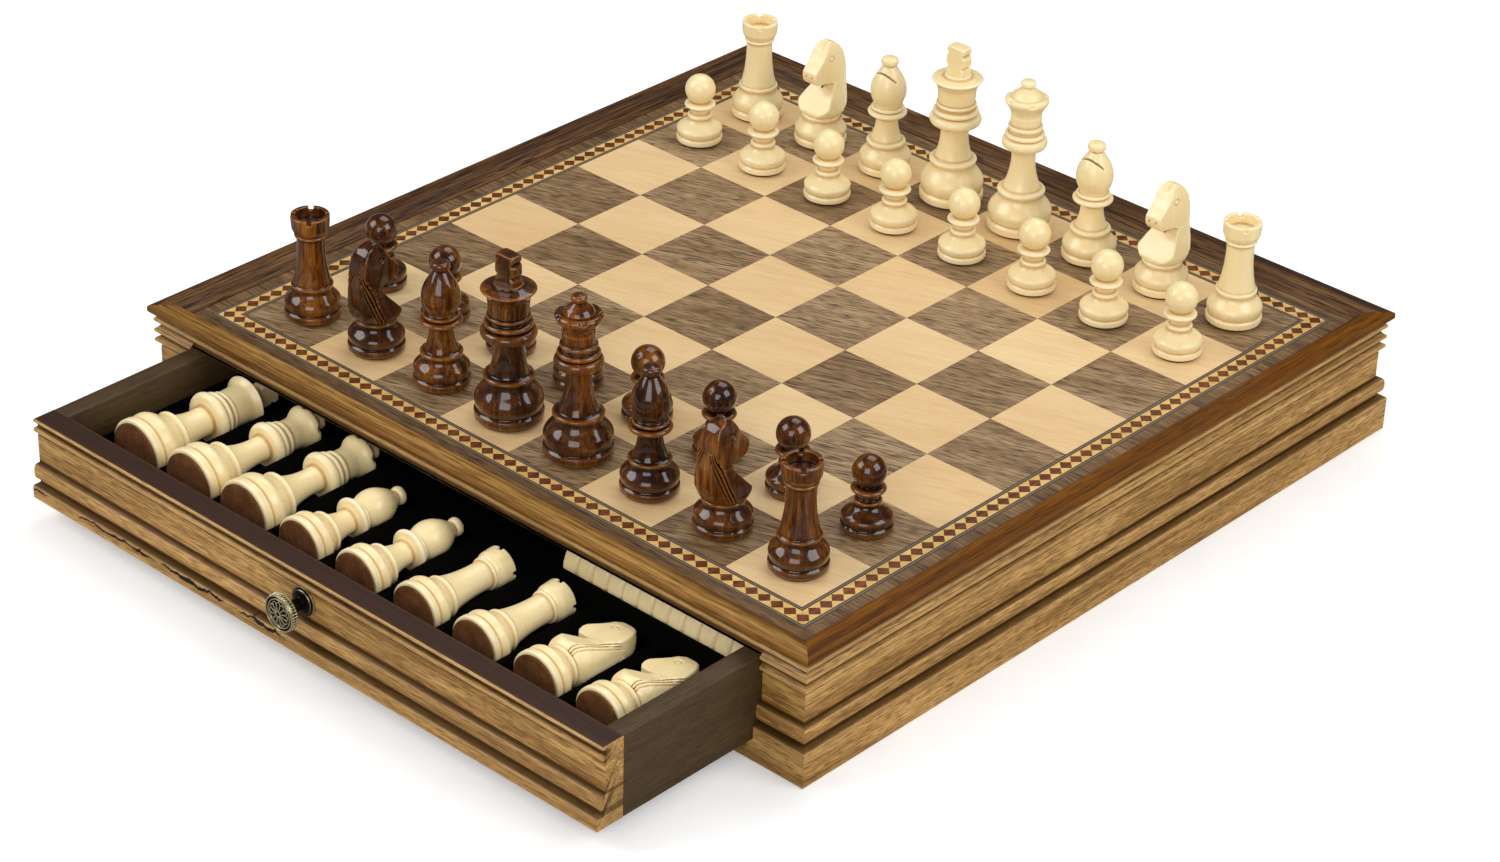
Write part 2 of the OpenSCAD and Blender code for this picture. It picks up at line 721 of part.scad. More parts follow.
// The knight's bust looks towards +Y. It is turned, then sawn to its side view and its front
// view. Shares of the base's diameter and of the height
bust_turned = [[0, 0.3], [0.37, 0.3], [0.43, 0.335], [0.475, 0.4], [0.475, 0.7], [0.45, 0.8],
    [0.4, 0.88], [0.3, 0.95], [0.15, 0.99], [0, 1]];
bust_side = [[0.33, 0.3], [0.36, 0.325], [0.365, 0.35], [0.35, 0.375], [0.03, 0.53],
    [-0.08, 0.605], [0.33, 0.625], [0.38, 0.66], [0.4, 0.715], [0.385, 0.75], [0.3, 0.78],
    [0.16, 0.82], [0.14, 0.875], [0.1, 0.915], [0.06, 0.965], [-0.02, 0.995], [-0.1, 1],
    [-0.25, 0.965], [-0.34, 0.915], [-0.39, 0.84], [-0.43, 0.74], [-0.45, 0.6],
    [-0.455, 0.44], [-0.43, 0.35], [-0.37, 0.3]];
bust_front = [[0.37, 0.3], [0.43, 0.335], [0.42, 0.37], [0.36, 0.45], [0.28, 0.54],
    [0.24, 0.63], [0.22, 0.72], [0.205, 0.82], [0.175, 0.9], [0.12, 0.96], [0.05, 1]];
// Plans of the chest, with its corners cut off, and of the head, which narrows to the nose
chest_plan = [[0.5, -0.5], [0.5, 0.1], [0.43, 0.19], [0.307, 0.345], [0.307, 0.5]];
head_plan = [[0.5, -0.5], [0.5, 0], [0.19, 0], [0.18, 0.1], [0.165, 0.42]];

function scaled(points, d, h) = [for (p = points) [p[0] * d, p[1] * h]];
// A right half with its mirror image
function both_halves(points) = concat(points, [for (i = [1:len(points)])
    let (p = points[len(points) - i]) [-p[0], p[1]]]);

module knight() {
    h = knight_h;
    d = officer_d;
    jaw_z = 0.612 * h;
    turned(concat(foot(d, ring_d("knight"), ring_z("knight")), [[0, ring_z("knight")]]));
    intersection() {
        turned(scaled(bust_turned, d, h));
        translate([-d / 2, 0, 0]) rotate([90, 0, 90]) linear_extrude(d)
            polygon(scaled(bust_side, d, h));
        translate([0, d / 2, 0]) rotate([90, 0, 0]) linear_extrude(d)
            polygon(scaled(both_halves(bust_front), d, h));
        union() {
            linear_extrude(jaw_z) polygon(scaled(both_halves(chest_plan), d, d));
            linear_extrude(far) polygon(scaled(both_halves(head_plan), d, d));
        }
    }
}

module man(kind) {
    if (kind == "king") king();
    if (kind == "queen") queen();
    if (kind == "bishop") bishop();
    if (kind == "knight") knight();
    if (kind == "rook") rook();
    if (kind == "pawn") pawn();
    felt(base_d(kind));
}

// ---------- men on the board ----------

// Men of one kind on the given files of a rank, counted from the left and from the near edge
module on_rank(kind, files, rank, turn = 0) {
    for (f = files)
        translate([(f + 0.5) * square - board_half, (rank + 0.5) * square - board_half, board_z])
            rotate([0, 0, turn]) man(kind);
}
rook_files = [0, 7];
knight_files = [1, 6];
bishop_files = [2, 5];
king_file = [3];
queen_file = [4];
pawn_files = [0:7];
light_wood = "#ecd8a4";
dark_wood = "#6e3314";

module light_king() { color(light_wood) on_rank("king", king_file, 7); }
module light_queen() { color(light_wood) on_rank("queen", queen_file, 7); }
module light_bishops() { color(light_wood) on_rank("bishop", bishop_files, 7, 180); }
module light_knights() { color(light_wood) on_rank("knight", knight_files, 7, 180); }
module light_rooks() { color(light_wood) on_rank("rook", rook_files, 7, 45); }
module light_pawns() { color(light_wood) on_rank("pawn", pawn_files, 6); }
module dark_king() { color(dark_wood) on_rank("king", king_file, 0); }
module dark_queen() { color(dark_wood) on_rank("queen", queen_file, 0); }
module dark_bishops() { color(dark_wood) on_rank("bishop", bishop_files, 0); }
module dark_knights() { color(dark_wood) on_rank("knight", knight_files, 0); }
module dark_rooks() { color(dark_wood) on_rank("rook", rook_files, 0, 45); }
module dark_pawns() { color(dark_wood) on_rank("pawn", pawn_files, 1); }

// ---------- what lies in the drawers ----------

// The men of one kind in their berths, on their sides with their feet towards the front.
// A man's own Y turns to -X, so that a knight's nose points to the left
module stored(kind) {
    color(light_wood)
    pulled()
    for (i = [0:squares])
        if (berths[i] == kind)
            at_berth(i) rotate([-90, 0, 0]) rotate([0, 0, 90]) man(kind);
}
module stored_king() { stored("king"); }
module stored_queens() { stored("queen"); }
module stored_bishops() { stored("bishop"); }
module stored_rooks() { stored("rook"); }
module stored_knights() { stored("knight"); }

// A row of draughtsmen on edge in the trough of the tray
module draught_row() {
    edge = 0.6;
    for (i = [0:draughts - 1])
        translate([draught_x + i * draught_pitch + seam, trough_axis_y, tray_top - row_sink])
            rotate([0, 90, 0])
            rotate_extrude()
            polygon([[0, 0], [draught_d / 2 - edge, 0], [draught_d / 2, edge],
                [draught_d / 2, draught_t - edge], [draught_d / 2 - edge, draught_t],
                [0, draught_t]]);
}
module light_draughts() { color(light_wood) pulled() draught_row(); }
module dark_draughts() { color(dark_wood) rear() draught_row(); }

frame_front();
frame_rear();
frame_left();
frame_right();
board_core();
light_squares();
dark_squares();
stringing();
banding();
border_veneer();
side_left();
side_right();
front_stiles();
rear_stiles();
top_rail_front();
top_rail_rear();
bottom_rail_front();
bottom_rail_rear();
bottom_panel();
divider();
runner_left();
runner_right();
glue_blocks();
bottom_screws();
front_drawer_face();
front_drawer_side_left();
front_drawer_side_right();
front_drawer_back();
front_drawer_bottom();
front_drawer_tray();
front_knob();
front_knob_screw();
rear_drawer_face();
rear_drawer_side_left();
rear_drawer_side_right();
rear_drawer_back();
rear_drawer_bottom();
rear_drawer_tray();
rear_knob();
rear_knob_screw();
stored_king();
stored_queens();
stored_bishops();
stored_rooks();
stored_knights();
light_draughts();
dark_draughts();
light_king();
light_queen();
light_bishops();
light_knights();
light_rooks();
light_pawns();
dark_king();
dark_queen();
dark_bishops();
dark_knights();
dark_rooks();
dark_pawns();
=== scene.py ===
"""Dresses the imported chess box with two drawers: moulded walnut case, inlaid board, turned men.

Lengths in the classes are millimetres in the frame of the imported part: the origin lies under
the middle of the box, Z is up, and the front drawer slides towards -Y.
"""

import logging
import math
from dataclasses import dataclass, field, replace
from enum import Enum
from typing import Any, Callable, ClassVar, Sequence

import bmesh
import bpy
import numpy as np
from mathutils import Matrix, Vector


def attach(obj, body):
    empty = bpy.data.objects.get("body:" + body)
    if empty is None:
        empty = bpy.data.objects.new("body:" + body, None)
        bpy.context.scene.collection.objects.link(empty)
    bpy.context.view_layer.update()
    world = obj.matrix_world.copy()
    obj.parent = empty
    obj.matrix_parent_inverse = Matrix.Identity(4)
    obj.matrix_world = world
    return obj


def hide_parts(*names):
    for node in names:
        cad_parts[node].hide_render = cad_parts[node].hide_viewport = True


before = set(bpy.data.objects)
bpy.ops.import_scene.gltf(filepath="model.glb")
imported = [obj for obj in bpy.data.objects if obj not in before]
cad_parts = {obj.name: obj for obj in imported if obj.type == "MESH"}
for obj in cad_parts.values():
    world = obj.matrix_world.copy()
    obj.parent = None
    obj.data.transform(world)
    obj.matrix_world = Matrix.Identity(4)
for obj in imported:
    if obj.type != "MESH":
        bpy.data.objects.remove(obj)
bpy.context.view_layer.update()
MM = 0.001
LOG = logging.getLogger("chess_box")
Outline = list[tuple[float, float]]
Colour = tuple[int, int, int]


# ---------- outlines ----------


def arc(x: float, z: float, r: float, a0: float, a1: float, n: int = 10) -> Outline:
    """Points of an arc about (x, z), from one angle to another in degrees."""
    turns = [math.radians(a0 + (a1 - a0) * i / n) for i in range(n + 1)]
    return [(x + r * math.cos(a), z + r * math.sin(a)) for a in turns]


def bead(x: float, z0: float, z1: float, out: float, power: float = 1.0, n: int = 14) -> Outline:
    """Half an ellipse that swells outwards from x between two heights.

    Args:
        x: Distance out of both its ends.
        z0: Height of its foot.
        z1: Height of its top.
        out: How far it swells.
        power: 1 for an ellipse, less for a squarer bead.
        n: Steps along it.

    Returns:
        Its points.
    """
    mid, half = (z0 + z1) / 2, (z1 - z0) / 2
    turns = [math.radians(-90 + 180 * i / n) for i in range(n + 1)]
    return [(x + out * max(math.cos(a), 0.0) ** power, mid + half * math.sin(a)) for a in turns]


def ogee(r0: float, z0: float, r1: float, z1: float, n: int = 16) -> Outline:
    """Inner points of a curve from one radius to another that leaves and arrives upright."""
    steps = [i / n for i in range(1, n)]
    return [(r1 + (r0 - r1) * (0.5 + 0.5 * math.cos(math.pi * t)), z0 + (z1 - z0) * t)
            for t in steps]


def flare(r0: float, z0: float, r1: float, z1: float, n: int = 16) -> Outline:
    """A hollow flare from one radius to another, upright at its second end."""
    return [(r1 + (r0 - r1) * (1 - i / n) ** 2.2, z0 + (z1 - z0) * i / n) for i in range(n + 1)]


def eased(points: Outline, radius: float, closed: bool = False) -> Outline:
    """Rounds the corners of an outline.

    Args:
        points: The corners, in order.
        radius: How far from a corner the rounding starts.
        closed: Whether the last point joins the first.

    Returns:
        The outline with each sharp corner as a short curve.
    """
    out: Outline = []
    count = len(points)
    for i, p in enumerate(points):
        if not closed and i in (0, count - 1):
            out.append(p)
            continue
        here, last, ahead = Vector(p), Vector(points[i - 1]), Vector(points[(i + 1) % count])
        a, b = last - here, ahead - here
        if a.length < 1e-6 or b.length < 1e-6:
            continue
        if abs(math.pi - a.angle(b)) < math.radians(18):
            out.append(p)
            continue
        start = here + a.normalized() * min(radius, 0.42 * a.length)
        stop = here + b.normalized() * min(radius, 0.42 * b.length)
        for t in (0.0, 0.3, 0.7, 1.0):
            q = start * (1 - t) ** 2 + here * 2 * t * (1 - t) + stop * t * t
            out.append((q.x, q.y))
    return out


def curved(points: Outline, n: int = 6) -> Outline:
    """A smooth curve through the points.

    Args:
        points: What it runs through.
        n: Steps from one point to the next.

    Returns:
        Its points.
    """
    ends = [points[0], *points, points[-1]]
    out: Outline = []
    for a, b, c, d in zip(ends, ends[1:], ends[2:], ends[3:]):
        for i in range(n):
            t = i / n
            out.append(tuple(0.5 * (2 * q + (r - p) * t + (2 * p - 5 * q + 4 * r - s) * t * t
                                    + (3 * q - p - 3 * r + s) * t ** 3)
                             for p, q, r, s in zip(a, b, c, d)))
    return out + [points[-1]]


def divided(points: Outline, step: float, closed: bool = False) -> Outline:
    """Adds points to the long stretches of an outline.

    Args:
        points: The outline.
        step: Greatest distance that stays between two points.
        closed: Whether the last point joins the first.

    Returns:
        The outline with its new points.
    """
    out: Outline = []
    ends = points[1:] + points[:1] if closed else points[1:]
    for (x0, z0), (x1, z1) in zip(points, ends):
        n = max(1, math.ceil(math.hypot(x1 - x0, z1 - z0) / step))
        out += [(x0 + (x1 - x0) * i / n, z0 + (z1 - z0) * i / n) for i in range(n)]
    return out if closed else out + [points[-1]]


def clipped(points: Outline, low: float, high: float, inner: float) -> Outline:
    """Keeps the part of a section between two heights and outside a depth.

    Args:
        points: The section as (distance outwards, height).
        low: Lowest height that stays.
        high: Greatest height that stays.
        inner: Least distance outwards that stays.

    Returns:
        The clipped section.
    """
    tests: list[Callable[[tuple[float, float]], float]] = [
        lambda p: p[1] - low, lambda p: high - p[1], lambda p: p[0] - inner]
    for test in tests:
        kept: Outline = []
        for a, b in zip(points, points[1:] + points[:1]):
            fa, fb = test(a), test(b)
            if fa >= 0:
                kept.append(a)
            if (fa > 0) != (fb > 0) and abs(fa - fb) > 1e-9:
                t = fa / (fa - fb)
                kept.append((a[0] + (b[0] - a[0]) * t, a[1] + (b[1] - a[1]) * t))
        points = [p for p, q in zip(kept, kept[1:] + kept[:1]) if math.dist(p, q) > 1e-4]
    return points


def proudness(points: Outline, reach: float, closed: bool) -> np.ndarray:
    """How far each point of an outline stands proud (up to 1) or lies in a hollow (to -1).

    Args:
        points: The outline.
        reach: Distance each way along it over which that is judged.
        closed: Whether the last point joins the first.

    Returns:
        One value for each point.
    """
    here = np.array(points, float)
    ring = np.vstack([here, here[:1]]) if closed else here
    run = np.concatenate([[0.0], np.cumsum(np.hypot(*np.diff(ring, axis=0).T))])

    def at(s: np.ndarray) -> np.ndarray:
        """Points of the outline at these distances along it."""
        s = s % run[-1] if closed else np.clip(s, 0, run[-1])
        return np.stack([np.interp(s, run, ring[:, 0]), np.interp(s, run, ring[:, 1])], 1)

    before, after = at(run[:len(here)] - reach), at(run[:len(here)] + reach)
    along = after - before
    out = np.stack([along[:, 1], -along[:, 0]], 1)
    out /= np.maximum(np.linalg.norm(out, axis=1, keepdims=True), 1e-9)
    return np.clip(2.2 * ((here - (before + after) / 2) * out).sum(1) / reach, -1, 1)


# ---------- skins ----------


def linked(name: str, data: Any) -> bpy.types.Object:
    """Links new data to the scene.

    Args:
        name: The object's name.
        data: Its mesh, lamp or camera.

    Returns:
        The object.
    """
    made = bpy.data.objects.new(name, data)
    bpy.context.scene.collection.objects.link(made)
    return made


def smoothed(mesh: bpy.types.Mesh, finish: "Finish", sharp: float) -> bpy.types.Object:
    """Makes a smooth object of a mesh.

    Args:
        mesh: The mesh, which gives the object its name.
        finish: What it is finished with.
        sharp: Angle in degrees past which an edge stays crisp.

    Returns:
        The object, at the origin.
    """
    mesh.polygons.foreach_set("use_smooth", [True] * len(mesh.polygons))
    mesh.set_sharp_from_angle(angle=math.radians(sharp))
    mesh.materials.append(finish.material())
    return linked(mesh.name, mesh)


@dataclass
class Skin:
    """A mesh in the making: corners in millimetres, faces, and how proud each corner stands."""

    corners: np.ndarray
    faces: list[tuple[int, ...]]
    proud: np.ndarray

    def __add__(self, other: "Skin") -> "Skin":
        """Joins two skins.

        Args:
            other: The second one.

        Returns:
            Both as one.
        """
        base = len(self.corners)
        faces = self.faces + [tuple(i + base for i in f) for f in other.faces]
        return Skin(np.vstack([self.corners, other.corners]), faces,
                    np.concatenate([self.proud, other.proud]))

    def moved(self, matrix: Matrix) -> "Skin":
        """The skin after a turn and a move, in millimetres."""
        m = np.array(matrix)
        return Skin(self.corners @ m[:3, :3].T + m[:3, 3], self.faces, self.proud)

    def piece(self, name: str, finish: "Finish", sharp: float = 42.0) -> bpy.types.Object:
        """Makes the skin an object.

        Args:
            name: Name of the piece.
            finish: What it is finished with.
            sharp: Angle in degrees past which an edge stays crisp.

        Returns:
            The object, at the origin, with its place in its mesh.
        """
        mesh = bpy.data.meshes.new(name)
        mesh.from_pydata((self.corners * MM).tolist(), [], self.faces)
        mesh.attributes.new("proud", "FLOAT", "POINT").data.foreach_set(
            "value", self.proud.astype(np.float32))
        work = bmesh.new()
        work.from_mesh(mesh)
        bmesh.ops.recalc_face_normals(work, faces=work.faces)
        work.to_mesh(mesh)
        work.free()
        return smoothed(mesh, finish, sharp)


def turned(profile: Outline, steps: int = 64, ease: float = 0.45, reach: float = 1.1) -> Skin:
    """Turns a profile about Z.

    Args:
        profile: (radius, height) from the foot to the top, both ends on the axis.
        steps: Divisions of the circle.
        ease: Rounding of the profile's corners.
        reach: Distance over which hollows and edges are told apart.

    Returns:
        The closed skin.
    """
    outline = divided(eased(profile, ease), 1.5)
    outline = [outline[0]] + [p for p in outline[1:-1] if p[0] > 1e-4] + [outline[-1]]
    proud = proudness(outline, reach, False)
    angles = np.arange(steps) * 2 * math.pi / steps
    r, z = np.array(outline[1:-1]).T
    rings = np.stack([r[:, None] * np.cos(angles), r[:, None] * np.sin(angles),
                      np.repeat(z[:, None], steps, 1)], 2).reshape(-1, 3)
    corners = np.vstack([[0, 0, outline[0][1]], rings, [0, 0, outline[-1][1]]])
    last = len(corners) - 1
    faces: list[tuple[int, ...]] = []
    for i in range(steps):
        j = (i + 1) % steps
        faces.append((0, 1 + j, 1 + i))
        faces.append((last, last - steps + i, last - steps + j))
        faces += [(1 + k * steps + i, 1 + k * steps + j, 1 + (k + 1) * steps + j,
                   1 + (k + 1) * steps + i) for k in range(len(r) - 1)]
    return Skin(corners, faces, np.concatenate(
        [proud[:1], np.repeat(proud[1:-1], steps), proud[-1:]]))


def run_along(section: Outline, start: Callable[[float], float], stop: Callable[[float], float],
              turn: float, ease: float = 0.3) -> Skin:
    """Runs a section along one side of the box.

    Args:
        section: (distance outwards, height) of each corner.
        start: Where the run starts, for a distance outwards.
        stop: Where it stops.
        turn: Degrees from the right-hand side.
        ease: Rounding of the section's corners.

    Returns:
        The closed skin.
    """
    points = divided(eased(section, ease, True), 1.0, True)
    area = sum(a[0] * b[1] - b[0] * a[1] for a, b in zip(points, points[1:] + points[:1]))
    if area < 0:
        points.reverse()
    n = len(points)
    proud = proudness(points, 1.5, True)
    ends = [(w, edge(w), z) for edge in (start, stop) for w, z in points]
    faces: list[tuple[int, ...]] = [(i, (i + 1) % n, n + (i + 1) % n, n + i) for i in range(n)]
    faces += [tuple(range(n)), tuple(range(2 * n - 1, n - 1, -1))]
    skin = Skin(np.array(ends, float), faces, np.concatenate([proud, proud]))
    return skin.moved(Matrix.Rotation(math.radians(turn), 4, "Z"))


# ---------- carving ----------


def off_outline(outline: Outline, u: np.ndarray, v: np.ndarray) -> np.ndarray:
    """Distance from points to a closed outline.

    Args:
        outline: The outline.
        u: First coordinate of the points.
        v: Second coordinate.

    Returns:
        The distances, negative inside the outline.
    """
    best = np.full(np.broadcast(u, v).shape, 1e9)
    inside = np.zeros(best.shape, bool)
    for (x0, z0), (x1, z1) in zip(outline, outline[1:] + outline[:1]):
        ex, ez = x1 - x0, z1 - z0
        t = np.clip(((u - x0) * ex + (v - z0) * ez) / max(ex * ex + ez * ez, 1e-12), 0, 1)
        best = np.minimum(best, (u - x0 - ex * t) ** 2 + (v - z0 - ez * t) ** 2)
        if abs(ez) > 1e-9:
            inside ^= ((z0 > v) != (z1 > v)) & (u < ex * (v - z0) / ez + x0)
    return np.where(inside, -1.0, 1.0) * np.sqrt(best)


def meet(a: np.ndarray, b: np.ndarray, soft: float = 0.35) -> np.ndarray:
    """What two solids share, with the edge between them rounded."""
    return np.maximum(a, b) + np.maximum(soft - np.abs(a - b), 0) ** 2 / (4 * soft)


def cut(a: np.ndarray, b: np.ndarray, soft: float = 0.35) -> np.ndarray:
    """The first solid without the second."""
    return meet(a, -b, soft)


class Block:
    """A block of wood as a grid of distances: zero on the surface, negative in the wood."""

    def __init__(self, low: Sequence[float], high: Sequence[float], step: float) -> None:
        """Sets out the grid.

        Args:
            low: Lowest corner.
            high: Highest corner.
            step: Size of a cell.
        """
        self.low, self.step = np.array(low, float), step
        axes = [np.arange(a, b + step, step) for a, b in zip(low, high)]
        self.x, self.y, self.z = (axes[0][:, None, None], axes[1][None, :, None],
                                  axes[2][None, None, :])

    def turned(self, profile: Outline) -> np.ndarray:
        """Distance to a solid that is turned about Z.

        Args:
            profile: (radius, height) from the foot to the top.

        Returns:
            Distances on the grid.
        """
        outline = profile + [(-r, z) for r, z in reversed(profile)]
        far = float(np.hypot(np.abs(self.x).max(), np.abs(self.y).max()))
        radii = np.arange(0, far + self.step, self.step / 2)
        table = off_outline(outline, radii[:, None], self.z.ravel()[None, :])
        r = np.hypot(self.x, self.y)[:, :, 0]
        return np.stack([np.interp(r, radii, table[:, k]) for k in range(table.shape[1])], 2)

    def ball(self, x: float, y: float, z: float, r: float) -> np.ndarray:
        """Distance to a ball."""
        return np.sqrt((self.x - x) ** 2 + (self.y - y) ** 2 + (self.z - z) ** 2) - r

    def rod(self, a: Sequence[float], b: Sequence[float], r: float) -> np.ndarray:
        """Distance to a rod with round ends.

        Args:
            a: Middle of one end.
            b: Middle of the other.
            r: Radius.

        Returns:
            Distances on the grid.
        """
        line = np.subtract(b, a)
        gaps = [g - p for g, p in zip((self.x, self.y, self.z), a)]
        t = np.clip(sum(g * e for g, e in zip(gaps, line)) / float(line @ line), 0, 1)
        return np.sqrt(sum((g - e * t) ** 2 for g, e in zip(gaps, line))) - r

    def box(self, low: Sequence[float], high: Sequence[float]) -> np.ndarray:
        """Distance to a box."""
        gaps = [np.maximum(a - g, g - b)
                for g, a, b in zip((self.x, self.y, self.z), low, high)]
        return np.maximum(np.maximum(gaps[0], gaps[1]), gaps[2])

    def skin(self, solid: np.ndarray, reach: float = 1.0) -> Skin:
        """Wraps the wood in a closed skin.

        Args:
            solid: Distances on the grid.
            reach: Distance over which hollows and edges are told apart.

        Returns:
            The skin.
        """
        shape = np.array(solid.shape) - 1
        total = np.zeros((int(shape.prod()), 3))
        count = np.zeros(int(shape.prod()))
        quads: list[np.ndarray] = []
        for axis in range(3):
            first = np.take(solid, range(solid.shape[axis] - 1), axis)
            second = np.take(solid, range(1, solid.shape[axis]), axis)
            spots = np.argwhere((first < 0) != (second < 0))
            a, b = first[tuple(spots.T)], second[tuple(spots.T)]
            place = spots.astype(float)
            place[:, axis] += a / (a - b)
            u, v = (axis + 1) % 3, (axis + 2) % 3
            inner = (spots[:, u] > 0) & (spots[:, v] > 0) & (spots[:, u] < shape[u]) \
                & (spots[:, v] < shape[v])
            spots, place = spots[inner], place[inner]
            round_it = []
            for du, dv in ((0, 0), (1, 0), (1, 1), (0, 1)):
                cell = spots.copy()
                cell[:, u] -= du
                cell[:, v] -= dv
                index = np.ravel_multi_index(tuple(cell.T), tuple(shape))
                np.add.at(total, index, place)
                np.add.at(count, index, 1)
                round_it.append(index)
            quads.append(np.stack(round_it, 1))
        used = np.flatnonzero(count)
        number = np.full(len(count), -1)
        number[used] = np.arange(len(used))
        places = total[used] / count[used][:, None]
        soft = solid
        k = max(1, round(reach / self.step))
        for axis in range(3):
            soft = sum(np.roll(soft, s, axis) for s in range(-k, k + 1)) / (2 * k + 1)
        near = np.minimum(np.rint(places).astype(int), np.array(solid.shape) - 1)
        shift = soft[tuple(near.T)] - solid[tuple(near.T)]
        return Skin(self.low + places * self.step, number[np.vstack(quads)].tolist(),
                    np.clip(3.5 * shift / reach, -1, 1))


# ---------- nodes ----------


def add_node(tree: bpy.types.NodeTree, kind: str, inputs: dict[Any, Any] | None = None,
             **settings: Any) -> Any:
    """Adds a node to a tree.

    Args:
        tree: The tree.
        kind: The node's type.
        inputs: Value or socket for each input.
        **settings: The node's own settings.

    Returns:
        The node.
    """
    made = tree.nodes.new(kind)
    for key, value in settings.items():
        setattr(made, key, value)
    for key, value in (inputs or {}).items():
        if isinstance(value, bpy.types.NodeSocket):
            tree.links.new(value, made.inputs[key])
        else:
            made.inputs[key].default_value = value
    return made


class Pattern(Enum):
    """How copies of a model are set out."""

    ROW = "row"
    RING = "ring"

    def tree(self) -> bpy.types.NodeTree:
        """The node group that sets them out, made once.

        Returns:
            The group, whose inputs bear the names of the values in set_out.
        """
        name = f"set_out_{self.value}"
        if name in bpy.data.node_groups:
            return bpy.data.node_groups[name]
        tree = bpy.data.node_groups.new(name, "GeometryNodeTree")
        tree.interface.new_socket("Geometry", in_out="OUTPUT", socket_type="NodeSocketGeometry")
        for word, kind in (("Model", "Object"), ("Count", "Int"), ("Start", "Vector"),
                           ("Step", "Vector"), ("Turn", "Vector"), ("Spin", "Vector"),
                           ("Seed", "Int"), ("Finish", "Material")):
            tree.interface.new_socket(word, in_out="INPUT", socket_type=f"NodeSocket{kind}")
        given = tree.nodes.new("NodeGroupInput").outputs

        def add(kind: str, inputs: dict[Any, Any] | None = None, out: Any = 0,
                **settings: Any) -> Any:
            """Adds a node and gives one of its outputs."""
            return add_node(tree, kind, inputs, **settings).outputs[out]

        offset, turn = given["Step"], given["Turn"]
        if self is Pattern.RING:
            share = add("ShaderNodeMath", {0: 2 * math.pi, 1: given["Count"]}, operation="DIVIDE")
            angle = add("ShaderNodeMath", {0: add("GeometryNodeInputIndex"), 1: share},
                        operation="MULTIPLY")
            turn = add("ShaderNodeVectorMath", {0: turn, "Scale": angle}, operation="SCALE")
            offset = (0.0, 0.0, 0.0)
        points = add("GeometryNodeMeshLine", {
            "Count": given["Count"], "Start Location": given["Start"], "Offset": offset})
        least = add("ShaderNodeVectorMath", {0: given["Spin"], "Scale": -1.0}, operation="SCALE")
        spin = add("FunctionNodeRandomValue", {
            "Min": least, "Max": given["Spin"], "Seed": given["Seed"]}, "Value",
            data_type="FLOAT_VECTOR")
        turned_by = add("FunctionNodeRotateRotation", {
            0: add("FunctionNodeEulerToRotation", {0: turn}),
            1: add("FunctionNodeEulerToRotation", {0: spin})}, rotation_space="LOCAL")
        copies = add("GeometryNodeInstanceOnPoints", {
            "Points": points, "Rotation": turned_by,
            "Instance": add("GeometryNodeObjectInfo", {"Object": given["Model"]}, "Geometry")})
        real = add("GeometryNodeRealizeInstances", {0: copies})
        painted = add("GeometryNodeSetMaterial", {"Geometry": real, "Material": given["Finish"]})
        add_node(tree, "NodeGroupOutput", {0: painted})
        return tree


def set_out(name: str, pattern: Pattern, model: Skin, finish: "Finish", count: int,
            start: Sequence[float], step: Sequence[float] = (0, 0, 0),
            turn: Sequence[float] = (0, 0, 0), spin: Sequence[float] = (0, 0, 0),
            seed: int = 1, sharp: float = 42.0) -> bpy.types.Object:
    """Sets out copies of a model and makes them one plain mesh.

    Args:
        name: Name of the piece.
        pattern: A row, or a ring about Z.
        model: What is repeated.
        finish: Its finish.
        count: How many there are.
        start: Place of the first.
        step: Offset from one to the next in a row.
        turn: Angles of each copy in a row, or the axis of a ring.
        spin: Greatest random turn either way, in each copy's own axes.
        seed: Seed of the random turns.
        sharp: Angle past which an edge stays crisp.

    Returns:
        The object.
    """
    source = model.piece(name + "_model", finish, sharp)
    carrier = linked(name, bpy.data.meshes.new(name + "_carrier"))
    work = carrier.modifiers.new("set_out", "NODES")
    work.node_group = pattern.tree()
    values = {"Model": source, "Count": count, "Start": [v * MM for v in start],
              "Step": [v * MM for v in step], "Turn": list(turn), "Spin": list(spin),
              "Seed": seed, "Finish": finish.material()}
    for item in work.node_group.interface.items_tree:
        if item.in_out == "INPUT":
            work[item.identifier] = values[item.name]
    graph = bpy.context.evaluated_depsgraph_get()
    graph.update()
    mesh = bpy.data.meshes.new_from_object(carrier.evaluated_get(graph), depsgraph=graph)
    carrier.modifiers.clear()
    carrier.data = mesh
    mesh.name = name
    bpy.data.objects.remove(source)
    return carrier


# ---------- finishes ----------


def linear(colour: Colour) -> tuple[float, float, float, float]:
    """A screen colour of 0 to 255 as the linear colour of a shader."""
    parts = [c / 12.92 if c <= 0.04045 else ((c + 0.055) / 1.055) ** 2.4
             for c in (value / 255 for value in colour)]
    return (parts[0], parts[1], parts[2], 1.0)


